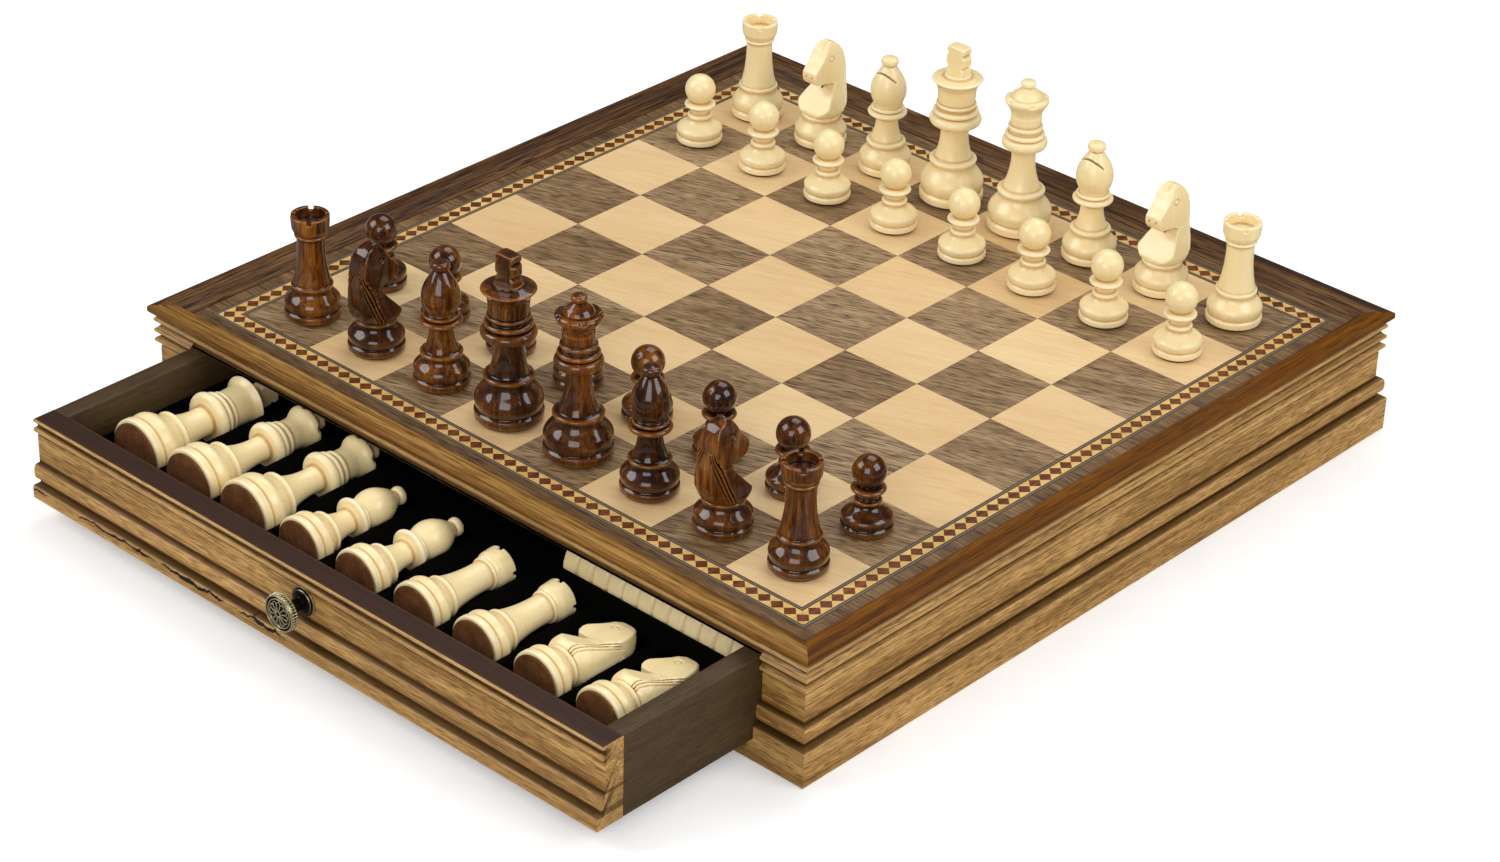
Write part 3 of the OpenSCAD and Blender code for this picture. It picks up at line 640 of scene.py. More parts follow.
class Shade:
    """Builds one material's nodes."""

    def __init__(self, name: str) -> None:
        """Starts an empty material.

        Args:
            name: Its name.
        """
        self.made = bpy.data.materials.new(name)
        self.made.use_nodes = True
        self.tree = self.made.node_tree
        self.tree.nodes.clear()
        self.place = self.node("ShaderNodeTexCoord").outputs["Object"]

    def node(self, kind: str, inputs: dict[Any, Any] | None = None, **settings: Any) -> Any:
        """Adds a node to the material."""
        return add_node(self.tree, kind, inputs, **settings)

    def sum(self, kind: str, a: Any, b: Any = 0.0) -> Any:
        """The result of a sum on two values or sockets."""
        return self.node("ShaderNodeMath", {0: a, 1: b}, operation=kind).outputs[0]

    def times(self, a: Any, b: Any) -> Any:
        """Two values or sockets multiplied."""
        return self.sum("MULTIPLY", a, b)

    def proud(self) -> Any:
        """How far the surface stands proud, as the mesh says it."""
        return self.node("ShaderNodeAttribute", attribute_name="proud").outputs["Fac"]

    def between(self, value: Any, low: float, high: float, to: tuple[float, float] = (0, 1)) -> Any:
        """Maps a value from a range to another, with no run-over."""
        return self.node("ShaderNodeMapRange", {
            "Value": value, "From Min": low, "From Max": high, "To Min": to[0],
            "To Max": to[1]}).outputs[0]

    def stretch(self, place: Any, scale: Sequence[float], turn: Sequence[float] = (0, 0, 0),
                shift: Sequence[float] = (0, 0, 0)) -> Any:
        """Turns a pattern's coordinates and then scales them.

        Args:
            place: The coordinates in metres.
            scale: Repeats per metre along each axis.
            turn: Angles of the turn.
            shift: Offset after it all.

        Returns:
            The new coordinates' socket.
        """
        level = self.node("ShaderNodeMapping", {"Vector": place, "Rotation": tuple(turn)})
        return self.node("ShaderNodeMapping", {
            "Vector": level.outputs[0], "Scale": tuple(scale),
            "Location": tuple(shift)}).outputs[0]

    def noise(self, place: Any, detail: float = 2.0, rough: float = 0.5, bend: float = 0.0) -> Any:
        """Noise whose size comes from its coordinates."""
        return self.node("ShaderNodeTexNoise", {
            "Vector": place, "Scale": 1.0, "Detail": detail, "Roughness": rough,
            "Distortion": bend}).outputs[0]

    def ramp(self, value: Any, stops: Sequence[tuple[float, Colour]]) -> Any:
        """Colours along a value.

        Args:
            value: The value or socket.
            stops: Place and colour of each stop, in order.

        Returns:
            The colour's socket.
        """
        made = self.node("ShaderNodeValToRGB", {0: value})
        band = made.color_ramp
        while len(band.elements) < len(stops):
            band.elements.new(0.5)
        for spot, (at, colour) in zip(band.elements, stops):
            spot.position = at
            spot.color = linear(colour)
        return made.outputs[0]

    def mix(self, share: Any, a: Any, b: Any) -> Any:
        """Mixes two colours or sockets."""
        ends = [v if isinstance(v, bpy.types.NodeSocket) else linear(v) for v in (a, b)]
        return self.node("ShaderNodeMix", {0: share, 6: ends[0], 7: ends[1]},
                         data_type="RGBA").outputs[2]

    def bump(self, height: Any, depth: float, strength: float = 1.0) -> Any:
        """A bump of that depth in millimetres."""
        return self.node("ShaderNodeBump", {
            "Height": height, "Distance": depth * MM, "Strength": strength}).outputs[0]

    def done(self, **inputs: Any) -> bpy.types.Material:
        """Closes the material with its main shader.

        Args:
            **inputs: Inputs of the shader, with _ for a space.

        Returns:
            The material.
        """
        shader = self.node("ShaderNodeBsdfPrincipled",
                           {k.replace("_", " "): v for k, v in inputs.items()})
        self.node("ShaderNodeOutputMaterial", {"Surface": shader.outputs[0]})
        return self.made


@dataclass(frozen=True)
class Finish:
    """What a piece is made of and finished with."""

    name: str
    slot: str

    def paint(self, shade: Shade) -> bpy.types.Material:
        """Builds the finish's nodes."""
        raise NotImplementedError

    def material(self) -> bpy.types.Material:
        """The finish's material, made once."""
        return bpy.data.materials.get(self.name) or self.paint(Shade(self.name))


class Grain(Enum):
    """The axis that a wood's grain runs along."""

    X = 0
    Y = 1
    Z = 2


@dataclass(frozen=True)
class Wood(Finish):
    """A clear-finished wood.

    The four tones run from dark to pale. Sizes are in millimetres. The pairs of spalt and
    dark bands are heights on the box; the dark bands are painted shade in grooves, with some
    darker finish gathered there.
    """

    stops: ClassVar[tuple[float, ...]] = (0.12, 0.38, 0.62, 0.9)
    shares: ClassVar[tuple[float, ...]] = (0.40, 0.38, 0.22)

    tones: tuple[Colour, Colour, Colour, Colour]
    grain: Grain = Grain.Y
    skew: float = 0.0
    streak: float = 3.0
    length: float = 60.0
    contrast: float = 1.0
    pores: float = 0.35
    pore: Colour = (60, 40, 22)
    pore_w: float = 0.5
    pore_l: float = 9.0
    # Hollow tone: painted shade in coves and grooves, with some darker finish gathered there.
    hollow: Colour = (60, 38, 16)
    hollow_share: float = 0.5
    # Edge tone: painted highlight on proud edges, with some rubbed wear.
    edge: Colour = (225, 190, 140)
    edge_share: float = 0.25
    patch: float = 0.0
    rough: float = 0.42
    coat: float = 0.0
    coat_rough: float = 0.15
    gloss: float = 0.5
    spalt: tuple[float, float] | None = None
    spalt_tone: Colour = (22, 11, 4)
    # Dark bands: painted shade in grooves, with some darker finish gathered there.
    stain: tuple[tuple[float, float], ...] = ()
    stain_tone: Colour = (72, 45, 9)
    stain_share: float = 0.7
    stain_fade: float = 0.3
    weave: float = 0.05

    def streaks(self, shade: Shade) -> tuple[Any, Any, Any]:
        """The wood's colours and figure.

        Args:
            shade: The material in the making.

        Returns:
            Colour, lines and relief as sockets.
        """
        place, tone, turn = shade.place, 0.0, (0.0, 0.0, math.radians(self.skew))
        if self.patch:
            pitch = 1 / (self.patch * MM)
            cell = shade.node("ShaderNodeVectorMath", {0: shade.stretch(place, (pitch, pitch, 0))},
                              operation="FLOOR").outputs[0]
            chance = shade.node("ShaderNodeTexWhiteNoise", {"Vector": cell}).outputs
            place = shade.node("ShaderNodeVectorMath", {0: place, 1: chance["Color"]},
                               operation="ADD").outputs[0]
            tone = shade.between(chance["Value"], 0, 1, (-0.16, 0.16))

        def figure(across: float, along: float, *look: float) -> Any:
            """Noise in streaks of that width and length."""
            scale = [1 / ((along if i == self.grain.value else across) * MM) for i in range(3)]
            return shade.noise(shade.stretch(place, scale, turn), *look)

        broad = figure(self.streak * 7, self.length * 5, 2, 0.5, 0.6)
        lines = figure(self.streak, self.length, 4, 0.6, 0.35)
        fine = figure(self.streak / 5, self.length / 3, 3, 0.65)
        parts = [shade.times(noise, share) for noise, share in
                 zip((broad, lines, fine), self.shares)]
        level = shade.sum("ADD", shade.sum("ADD", parts[0], parts[1]), parts[2])
        level = shade.times(shade.sum("SUBTRACT", level, 0.5), 2.6 * self.contrast)
        level = shade.sum("ADD", shade.sum("ADD", level, 0.5), tone)
        colour = shade.ramp(level, list(zip(self.stops, self.tones)))
        pits = shade.between(figure(self.pore_w, self.pore_l, 1, 0.5), 0.5, 0.62)
        colour = shade.mix(shade.times(pits, self.pores), colour, self.pore)
        return colour, lines, shade.sum("SUBTRACT", shade.times(fine, 0.5), pits)

    def paint(self, shade: Shade) -> bpy.types.Material:
        """Streaks, pores, hollows darkened as painted shade with some gathered finish, edges
        lightened as painted highlight with some rubbed wear, and a thin finish.

        Args:
            shade: The material in the making.

        Returns:
            The material.
        """
        colour, lines, height = self.streaks(shade)
        proud, z = shade.proud(), shade.node("ShaderNodeSeparateXYZ", {0: shade.place}).outputs["Z"]
        # Proud edges lightened: painted highlight, with some rubbed wear.
        edge_highlight_and_wear = shade.times(shade.between(proud, 0.25, 1.0), self.edge_share)
        colour = shade.mix(edge_highlight_and_wear, colour, self.edge)
        # Hollows darkened: painted shade, with some darker finish.
        hollow_shade_and_finish = shade.times(shade.between(proud, -0.15, -0.9), self.hollow_share)
        colour = shade.mix(hollow_shade_and_finish, colour, self.hollow)
        # Bands of painted shade in the case's grooves.
        for low, high in self.stain:
            inside = shade.times(shade.between(z, (low - self.stain_fade) * MM, low * MM),
                                 shade.between(z, (high + self.stain_fade) * MM, high * MM))
            colour = shade.mix(shade.times(inside, self.stain_share), colour, self.stain_tone)
        if self.spalt:
            colour = shade.mix(self.spalting(shade), colour, self.spalt_tone)
        rough = shade.between(lines, 0.3, 0.7, (self.rough + 0.06, self.rough - 0.06))
        return shade.done(Base_Color=colour, Roughness=rough,
                          Normal=shade.bump(height, self.weave), Specular_IOR_Level=self.gloss,
                          Coat_Weight=self.coat, Coat_Roughness=self.coat_rough)

    def spalting(self, shade: Shade) -> Any:
        """A jagged black line low on the left half of a drawer's front.

        Args:
            shade: The material in the making.

        Returns:
            How much of it there is, as a socket.
        """
        place = shade.node("ShaderNodeSeparateXYZ", {0: shade.place}).outputs
        rough = shade.noise(shade.stretch(shade.place, (1 / (11 * MM), 0, 0)), 4, 0.75)
        swell = shade.noise(shade.stretch(shade.place, (1 / (26 * MM), 0, 0), shift=(3, 1, 0)), 2)
        low, high = self.spalt
        middle = shade.between(rough, 0.25, 0.75, (low * MM, high * MM))
        off = shade.sum("ABSOLUTE", shade.sum("SUBTRACT", place["Z"], middle))
        near = shade.between(place["X"], -0.17, -0.02, (0.35, 0.9))
        width = shade.times(shade.between(swell, 0.38, 0.6, (-0.45, 2.0)), near)
        inside = shade.sum("SUBTRACT", shade.times(width, MM), off)
        ends = shade.times(shade.between(place["X"], -0.172, -0.165),
                           shade.between(place["X"], -0.006, -0.012))
        return shade.times(shade.between(inside, 0.0, 0.00012), ends)


@dataclass(frozen=True)
class Pile(Finish):
    """A short matt pile: felt or flock."""

    dark: Colour
    pale: Colour
    hair: float = 0.25
    sheen: float = 0.3

    def paint(self, shade: Shade) -> bpy.types.Material:
        """Matted fibres with a soft sheen.

        Args:
            shade: The material in the making.

        Returns:
            The material.
        """
        pitch = 1 / (self.hair * MM)
        hairs = shade.noise(shade.stretch(shade.place, (pitch,) * 3), 3, 0.7, 1.5)
        nap = shade.noise(shade.stretch(shade.place, (pitch / 12,) * 3), 2, 0.5)
        level = shade.sum("ADD", shade.times(hairs, 0.7), shade.times(nap, 0.3))
        colour = shade.mix(shade.between(level, 0.35, 0.65), self.dark, self.pale)
        return shade.done(Base_Color=colour, Roughness=0.95, Specular_IOR_Level=0.04,
                          Sheen_Weight=self.sheen, Sheen_Roughness=0.5,
                          Normal=shade.bump(hairs, 0.18, 0.8))


@dataclass(frozen=True)
class Metal(Finish):
    """A metal with darker hollows and rubbed edges."""

    base: Colour
    hollow: Colour
    edge: Colour
    rough: float = 0.35
    metallic: float = 1.0

    def paint(self, shade: Shade) -> bpy.types.Material:
        """Tarnish that follows the relief.

        Args:
            shade: The material in the making.

        Returns:
            The material.
        """
        proud = shade.proud()
        spots = shade.noise(shade.stretch(shade.place, (900.0,) * 3), 3, 0.6)
        colour = shade.mix(shade.between(spots, 0.3, 0.7, (0, 0.35)), self.base, self.hollow)
        colour = shade.mix(shade.between(proud, -0.1, -0.5), colour, self.hollow)
        colour = shade.mix(shade.between(proud, 0.1, 0.6), colour, self.edge)
        rough = shade.between(spots, 0.3, 0.7, (self.rough - 0.08, self.rough + 0.12))
        return shade.done(Base_Color=colour, Metallic=self.metallic, Roughness=rough,
                          Normal=shade.bump(spots, 0.03, 0.5))


@dataclass(frozen=True)
class Backdrop(Finish):
    """Matt pale paper under the box."""

    def paint(self, shade: Shade) -> bpy.types.Material:
        """Pale paper that keeps the shadow and stays pale in reflections.

        Args:
            shade: The material in the making.

        Returns:
            The material.
        """
        path = shade.node("ShaderNodeLightPath").outputs
        paper = shade.noise(shade.stretch(shade.place, (60.0,) * 3), 2, 0.5)
        colour = shade.mix(shade.between(paper, 0.3, 0.7), (240, 240, 240), (244, 244, 243))
        colour = shade.mix(path["Is Glossy Ray"], colour, (150, 146, 140))
        return shade.done(Base_Color=colour, Roughness=0.9, Specular_IOR_Level=0.0,
                          Emission_Color=(1.0, 1.0, 1.0, 1.0),
                          Emission_Strength=shade.times(path["Is Camera Ray"], 0.24))


# Case walnut: the hollow tone and the dark bands under and over the bead are painted shade in its
# grooves, with some darker finish; the edge tone is painted highlight with some rubbed wear.
CASE = dict(slot="case_walnut", streak=0.9, length=22.0, contrast=0.85, pores=0.55,
            tones=((102, 69, 28), (144, 105, 52), (184, 142, 80), (214, 174, 112)),
            pore=(86, 56, 20), pore_l=6.0, hollow=(58, 33, 5), hollow_share=0.9,
            edge=(192, 154, 100), edge_share=0.35, gloss=0.35,
            stain=((15.75, 18.5), (25.2, 26.3)))
CASE_X = Wood("walnut_along_front", grain=Grain.X, **CASE)
FACE_FRONT = Wood("walnut_front_drawer", grain=Grain.X, spalt=(12.2, 16.4), **CASE)
# Sides: the case walnut with paler tones, painted light on the lit right side.
CASE_Y = Wood("walnut_along_sides", **dict(CASE, tones=(
    (110, 75, 31), (154, 113, 57), (196, 152, 86), (226, 184, 120))))
# The four frame rails are one walnut; their different tones for each side are painted light and
# shade.
NEAR = dict(slot="frame_near", streak=1.6, length=80.0, contrast=1.3, pores=0.55,
            pore=(40, 21, 3), pore_w=0.6, pore_l=14.0, hollow=(24, 11, 2), hollow_share=0.85,
            edge=(140, 90, 36), rough=0.34, coat=0.06, gloss=0.12)
FRAME_FRONT = Wood("walnut_frame_front", grain=Grain.X, tones=(
    (62, 37, 11), (104, 69, 27), (142, 102, 48), (172, 131, 72)), **NEAR)
FRAME_RIGHT = Wood("walnut_frame_right", tones=(
    (56, 27, 0), (84, 44, 0), (106, 60, 3), (128, 79, 12)), **NEAR)
FAR = dict(NEAR, slot="frame_far", edge=(124, 86, 50), pore=(22, 11, 4), pores=0.8,
           coat=0.08, gloss=0.25)
FRAME_REAR = Wood("walnut_frame_rear", grain=Grain.X, tones=(
    (36, 19, 7), (70, 43, 19), (108, 74, 40), (142, 104, 64)), **FAR)
FRAME_LEFT = Wood("walnut_frame_left", tones=(
    (34, 18, 7), (66, 40, 18), (102, 68, 36), (134, 98, 60)), **FAR)
VENEER = dict(grain=Grain.X, gloss=0.35, weave=0.02)
DARK_VENEER = Wood("walnut_veneer", "dark_veneer", (
    (112, 86, 56), (142, 113, 78), (166, 138, 102), (188, 162, 124)), streak=1.0, length=15.0,
    contrast=0.8, pores=0.8, pore=(62, 43, 24), pore_w=0.55, pore_l=8.0, skew=-20.0, patch=40.0,
    rough=0.4, **VENEER)
LIGHT_VENEER = Wood("maple_veneer", "light_veneer", (
    (206, 168, 116), (220, 185, 134), (228, 196, 146), (235, 206, 158)), streak=2.2,
    length=26.0, contrast=0.6, pores=0.18, pore=(196, 152, 100), skew=-20.0, patch=40.0,
    rough=0.38, **VENEER)
BORDER_VENEER = Wood("border_veneer", "border_walnut", (
    (74, 52, 30), (104, 76, 47), (128, 97, 62), (150, 118, 78)), streak=1.2, length=30.0,
    contrast=1.2, pores=0.75, pore=(40, 27, 14), pore_l=10.0, rough=0.4, **VENEER)
INLAY = dict(rough=0.4, gloss=0.3, weave=0.01)
LINE = dict(slot="black_stringing", length=12.0, pores=0.1, **INLAY)
BLACK_LINE = Wood("black_stringing", tones=(
    (3, 2, 1), (5, 4, 3), (8, 6, 4), (12, 9, 6)), **LINE)
WHITE_LINE = Wood("white_stringing", tones=(
    (142, 120, 88), (154, 132, 98), (164, 142, 106), (172, 150, 114)), **LINE)
BANDING = dict(slot="diamond_banding", length=8.0, **INLAY)
YELLOW = Wood("yellow_banding", streak=0.8, pores=0.2, pore=(170, 120, 50), tones=(
    (190, 150, 80), (208, 170, 98), (220, 184, 112), (230, 198, 128)), **BANDING)
RED_BROWN = Wood("red_brown_banding", streak=0.6, pores=0.4, pore=(66, 26, 8), tones=(
    (62, 30, 12), (92, 48, 22), (118, 66, 34), (142, 86, 48)), **BANDING)
STAINED = dict(slot="drawer_wood", streak=1.4, length=50.0, contrast=0.4,
               tones=((50, 36, 17), (66, 49, 26), (80, 61, 35), (96, 75, 47)), pore=(32, 22, 9),
               edge=(96, 66, 32), edge_share=0.4, rough=0.5, gloss=0.35)
TOP_STAIN = Wood("stained_top_edge", grain=Grain.X, **dict(STAINED, tones=(
    (38, 20, 12), (50, 28, 17), (60, 36, 22), (72, 46, 30))))
STAINED_X = Wood("stained_along_front", grain=Grain.X, **STAINED)
STAINED_Y = Wood("stained_along_sides", **STAINED)
RAW = dict(slot="carcase_wood", streak=2.4, length=120.0, pores=0.2,
           tones=((178, 140, 92), (198, 162, 112), (212, 178, 128), (224, 194, 148)),
           pore=(150, 112, 70), hollow_share=0.3, edge_share=0.1, rough=0.65)
RAW_X = Wood("raw_wood_along_front", grain=Grain.X, **RAW)
RAW_Y = Wood("raw_wood_along_sides", **RAW)
PLY = Wood("board_ply", "board_ply", RAW["tones"], length=140.0, rough=0.6)
# Light men: the darker hollow tone is mostly painted shade, the near-white edge tone mostly painted
# highlight.
BOX = dict(slot="light_men", streak=3.4, length=40.0, contrast=0.5, pores=0.05,
           tones=((236, 208, 146), (243, 219, 162), (248, 228, 176), (251, 236, 190)),
           pore=(222, 186, 122), hollow=(196, 142, 66), hollow_share=0.7,
           edge=(255, 246, 216), edge_share=0.45, rough=0.3, coat=0.35, coat_rough=0.12,
           weave=0.02)
BOX_UPRIGHT = Wood("boxwood_upright", grain=Grain.Z, **BOX)
BOX_LYING = Wood("boxwood_lying", **BOX)
# Dark men: the near-black hollow tone is mostly painted shade, the amber edge tone mostly painted
# highlight.
LACQUER = Wood("lacquer_upright", "dark_men", (
    (26, 9, 0), (56, 24, 1), (92, 47, 5), (142, 84, 16)), grain=Grain.Z, streak=2.6,
    length=26.0, contrast=1.25, pores=0.25, pore=(30, 13, 2), pore_l=6.0, hollow=(9, 3, 0),
    hollow_share=0.95, edge=(190, 118, 42), edge_share=0.3, rough=0.3, coat=1.0,
    coat_rough=0.07, gloss=0.15, weave=0.02)
FELT = Pile("brown_felt", "dark_men", (60, 35, 18), (134, 90, 54), 0.55, 0.02)
FLOCK = Pile("black_flock", "black_velvet", (0, 0, 0), (2, 2, 2), 0.3, 0.0)
BRONZE = Metal("antique_bronze", "bronze", (34, 28, 18), (6, 5, 3), (178, 166, 128), 0.3, 0.85)
RUBBED = Metal("rubbed_bronze", "bronze", (168, 156, 118), (70, 60, 38), (214, 204, 168), 0.3, 0.7)
SCREW_METAL = Metal("screw_metal", "screw_steel", (170, 158, 128), (70, 60, 40),
                    (226, 216, 190), 0.3)


# ---------- shared sizes ----------


@dataclass(frozen=True)
class Sizes:
    """Sizes that several parts of the box share."""

    square: float = 40.0
    string_w: float = 1.9
    band_w: float = 6.7
    border_w: float = 5.9
    frame_w: float = 14.1
    side_t: float = 12.5
    stile_w: float = 26.1
    flat_d: float = 4.3
    bottom_rail_h: float = 9.7
    top_rail_h: float = 5.2
    board_t: float = 6.8
    drawer_h: float = 36.7
    drawer_room: float = 0.5
    face_t: float = 9.5
    gap: float = 0.3
    tray_z: float = 5.3
    tray_h: float = 16.2
    foot_in: float = 16.2
    pull: float = 84.0

    @property
    def board_half(self) -> float:
        """Half width of the squares."""
        return 4 * self.square

    @property
    def lip_half(self) -> float:
        """Half width between the frame's lips."""
        return self.board_half + 2 * self.string_w + self.band_w + self.border_w

    @property
    def case_half(self) -> float:
        """Half width of the plinth."""
        return self.lip_half + self.frame_w

    @property
    def opening_half(self) -> float:
        """Half width of a drawer's opening."""
        return self.case_half - self.stile_w

    @property
    def opening_z(self) -> float:
        """Underside of the board."""
        return self.bottom_rail_h + self.gap + self.drawer_h + self.drawer_room

    @property
    def board_z(self) -> float:
        """Playing surface."""
        return self.opening_z + self.board_t

    @property
    def seat_z(self) -> float:
        """Underside of the frame."""
        return self.opening_z + self.top_rail_h

    @property
    def face_y(self) -> float:
        """The flat of a shut front drawer's face."""
        return -(self.case_half - self.flat_d)

    @property
    def face_back(self) -> float:
        """Distance from the middle to the back of a shut drawer's face."""
        return self.case_half - self.flat_d - self.face_t

    @property
    def tray_top(self) -> float:
        """Top of a drawer's tray."""
        return self.bottom_rail_h + self.gap + self.tray_z + self.tray_h

    @property
    def foot_y(self) -> float:
        """Feet of the stored men in a shut front drawer."""
        return self.face_y + self.face_t + self.foot_in


S = Sizes()


def finished(made: bpy.types.Object, finish: Finish, body: str, *nodes: str) -> None:
    """Puts a piece on its body and hides the nodes that it stands for.

    Args:
        made: The piece.
        finish: What it is finished with. Not used.
        body: Body that it moves with.
        *nodes: Nodes that it replaces.
    """
    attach(made, body)
    if nodes:
        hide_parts(*nodes)
    LOG.info("%s: %d faces on %s", made.name, len(made.data.polygons), body)


def eased_copy(node: str, finish: Finish, body: str, width: float) -> None:
    """Replaces a plain node by a copy with its sharp edges taken off.

    Args:
        node: The node.
        finish: The copy's finish.
        body: Body that it moves with.
        width: Width of the small rounding.
    """
    work = bmesh.new()
    work.from_mesh(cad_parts[node].data)
    bmesh.ops.remove_doubles(work, verts=work.verts, dist=1e-6)
    bmesh.ops.dissolve_limit(work, angle_limit=math.radians(0.5), verts=work.verts,
                             edges=work.edges)
    crisp = [e for e in work.edges if len(e.link_faces) == 2
             and e.calc_face_angle(0.0) > math.radians(35)]
    bmesh.ops.bevel(work, geom=crisp, offset=width * MM, segments=2, profile=0.6,
                    affect="EDGES", clamp_overlap=True)
    mesh = bpy.data.meshes.new(node + "_eased")
    work.to_mesh(mesh)
    work.free()
    finished(smoothed(mesh, finish, 50), finish, body, node)


def dressed(node: str, finish: Finish) -> None:
    """Gives a node that keeps its shape its finish.

    Args:
        node: The node.
        finish: Its finish.
    """
    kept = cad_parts[node]
    kept.data.materials.clear()
    kept.data.materials.append(finish.material())
    LOG.info("%s: kept, with %s", node, finish.name)


# ---------- case ----------


@dataclass
class Case:
    """The moulded walnut case and the frame round the board."""

    plinth_h: float = 16.0
    quirk_d: float = 4.0
    bead_z: float = 18.4
    bead_h: float = 7.1
    bead_d: float = 1.2
    step_in: float = 4.6
    step_out: float = 2.4
    lower_step_h: float = 4.0
    upper_step_h: float = 4.6
    nose_h: float = 1.3
    nose_r: float = 0.6
    seat_w: float = 4.9
    rabbet_w: float = 4.0
    rabbet_h: float = 5.0
    slope_w: float = 4.2
    frame_h: float = 5.8
    eave_h: float = 2.4

    @property
    def flat_z(self) -> float:
        """Middle of the flat between the bead and the steps."""
        return (self.bead_z + self.bead_h + S.opening_z - self.upper_step_h) / 2

    def step(self, z: float, h: float) -> Outline:
        """A cove, a nose and a flat ledge.

        Args:
            z: Height of the ledge.
            h: Height of the step.

        Returns:
            Points of (minus the depth behind the plinth's face, height).
        """
        r = self.step_in - self.step_out - self.nose_r
        return [(-self.step_in, z - h),
                *arc(-self.step_in + r, z - self.nose_h - self.nose_r - r, r, 180, 90),
                *arc(-self.step_out - self.nose_r, z - self.nose_h, self.nose_r, -90, 0, 4),
                (-self.step_out, z - 0.4), (-self.step_out - 0.4, z), (-self.step_in, z)]

    def section(self) -> Outline:
        """Section of a case side: the moulding outside, a rabbet for board and bottom.

        Returns:
            The section as (distance outwards, height).
        """
        top, steps_z = self.bead_z + self.bead_h, S.opening_z - self.upper_step_h
        face = [(0.0, 0.0), (0.0, self.plinth_h - 0.6), (-0.6, self.plinth_h),
                (-self.quirk_d, self.plinth_h),
                *bead(-self.quirk_d, self.bead_z, top, self.quirk_d - self.bead_d, 0.45, 24),
                (-S.flat_d, top), (-S.flat_d, steps_z - self.lower_step_h),
                *self.step(steps_z, self.lower_step_h),
                *self.step(S.opening_z, self.upper_step_h), *self.step(S.seat_z, S.top_rail_h)]
        core, inner = S.lip_half + self.seat_w, S.case_half - S.side_t
        return [(S.case_half + d, z) for d, z in face] + [
            (core, S.seat_z), (core, S.opening_z), (inner, S.opening_z), (inner, self.rabbet_h),
            (inner + self.rabbet_w, self.rabbet_h), (inner + self.rabbet_w, 0.0)]

    def frame_section(self) -> Outline:
        """Section of a frame rail: slope inside, flat top, eaves over the moulding.

        Returns:
            The section as (distance outwards, height).
        """
        ridge, out = S.lip_half + self.slope_w, S.case_half - 0.6
        top, eave = S.seat_z + self.frame_h, S.seat_z + self.eave_h
        return [(S.lip_half, S.board_z), (S.lip_half, S.board_z + 0.5),
                *arc(ridge + 0.4, top - 0.6, 0.6, 130, 90, 4), *arc(out - 1, top - 1, 1, 90, 0, 6),
                *arc(out - 0.8, eave + 0.8, 0.8, 0, -90, 5),
                (S.case_half - self.quirk_d, eave), (S.case_half - self.quirk_d, S.seat_z),
                (S.lip_half + self.seat_w, S.seat_z), (S.lip_half + self.seat_w, S.board_z)]

    def face_section(self) -> Outline:
        """Section of a drawer's face: the moulding, cut to the drawer's height.

        Returns:
            The section as (distance outwards, height).
        """
        low = S.bottom_rail_h + S.gap
        section = [(S.face_back if w < S.case_half - 6 else w, z) for w, z in self.section()]
        return clipped(section, low, low + S.drawer_h, S.face_back)

    def build(self) -> None:
        """Makes the frame, the sides, the stiles and the rails."""
        section, half = self.section(), S.opening_half
        sides = {"right": (0.0, FRAME_RIGHT), "rear": (90.0, FRAME_REAR),
                 "left": (180.0, FRAME_LEFT), "front": (-90.0, FRAME_FRONT)}
        for name, (turn, finish) in sides.items():
            rail = run_along(self.frame_section(), lambda w: -w, lambda w: w, turn)
            finished(rail.piece(f"frame_rail_{name}", finish), finish, "case", f"frame_{name}")
        for name in ("right", "left"):
            side = run_along(section, lambda w: -w, lambda w: w, sides[name][0])
            finished(side.piece(f"moulded_side_{name}", CASE_Y), CASE_Y, "case", f"side_{name}")
        for name in ("front", "rear"):
            turn = sides[name][0]
            pair = run_along(section, lambda w: -w, lambda w: -half, turn) \
                + run_along(section, lambda w: half, lambda w: w, turn)
            finished(pair.piece(f"moulded_stiles_{name}", CASE_X), CASE_X, "case",
                     f"{name}_stiles")
            for level, low, high in (("top", S.opening_z, S.seat_z),
                                     ("bottom", 0.0, S.bottom_rail_h)):
                rail = run_along(clipped(section, low, high, 0), lambda w: -half,
                                 lambda w: half, turn)
                finished(rail.piece(f"{level}_rail_moulding_{name}", CASE_X), CASE_X, "case",
                         f"{level}_rail_{name}")


@dataclass
class Carcase:
    """The plain wood inside and under the box."""

    rounding: float = 0.4

    def build(self) -> None:
        """Eases the plain pieces and finishes the screws."""
        for node, finish in (("bottom_panel", RAW_Y), ("divider", RAW_X), ("runner_left", RAW_Y),
                             ("runner_right", RAW_Y), ("glue_blocks", RAW_X)):
            eased_copy(node, finish, "case", self.rounding)
        dressed("bottom_screws", SCREW_METAL)
        dressed("board_core", PLY)


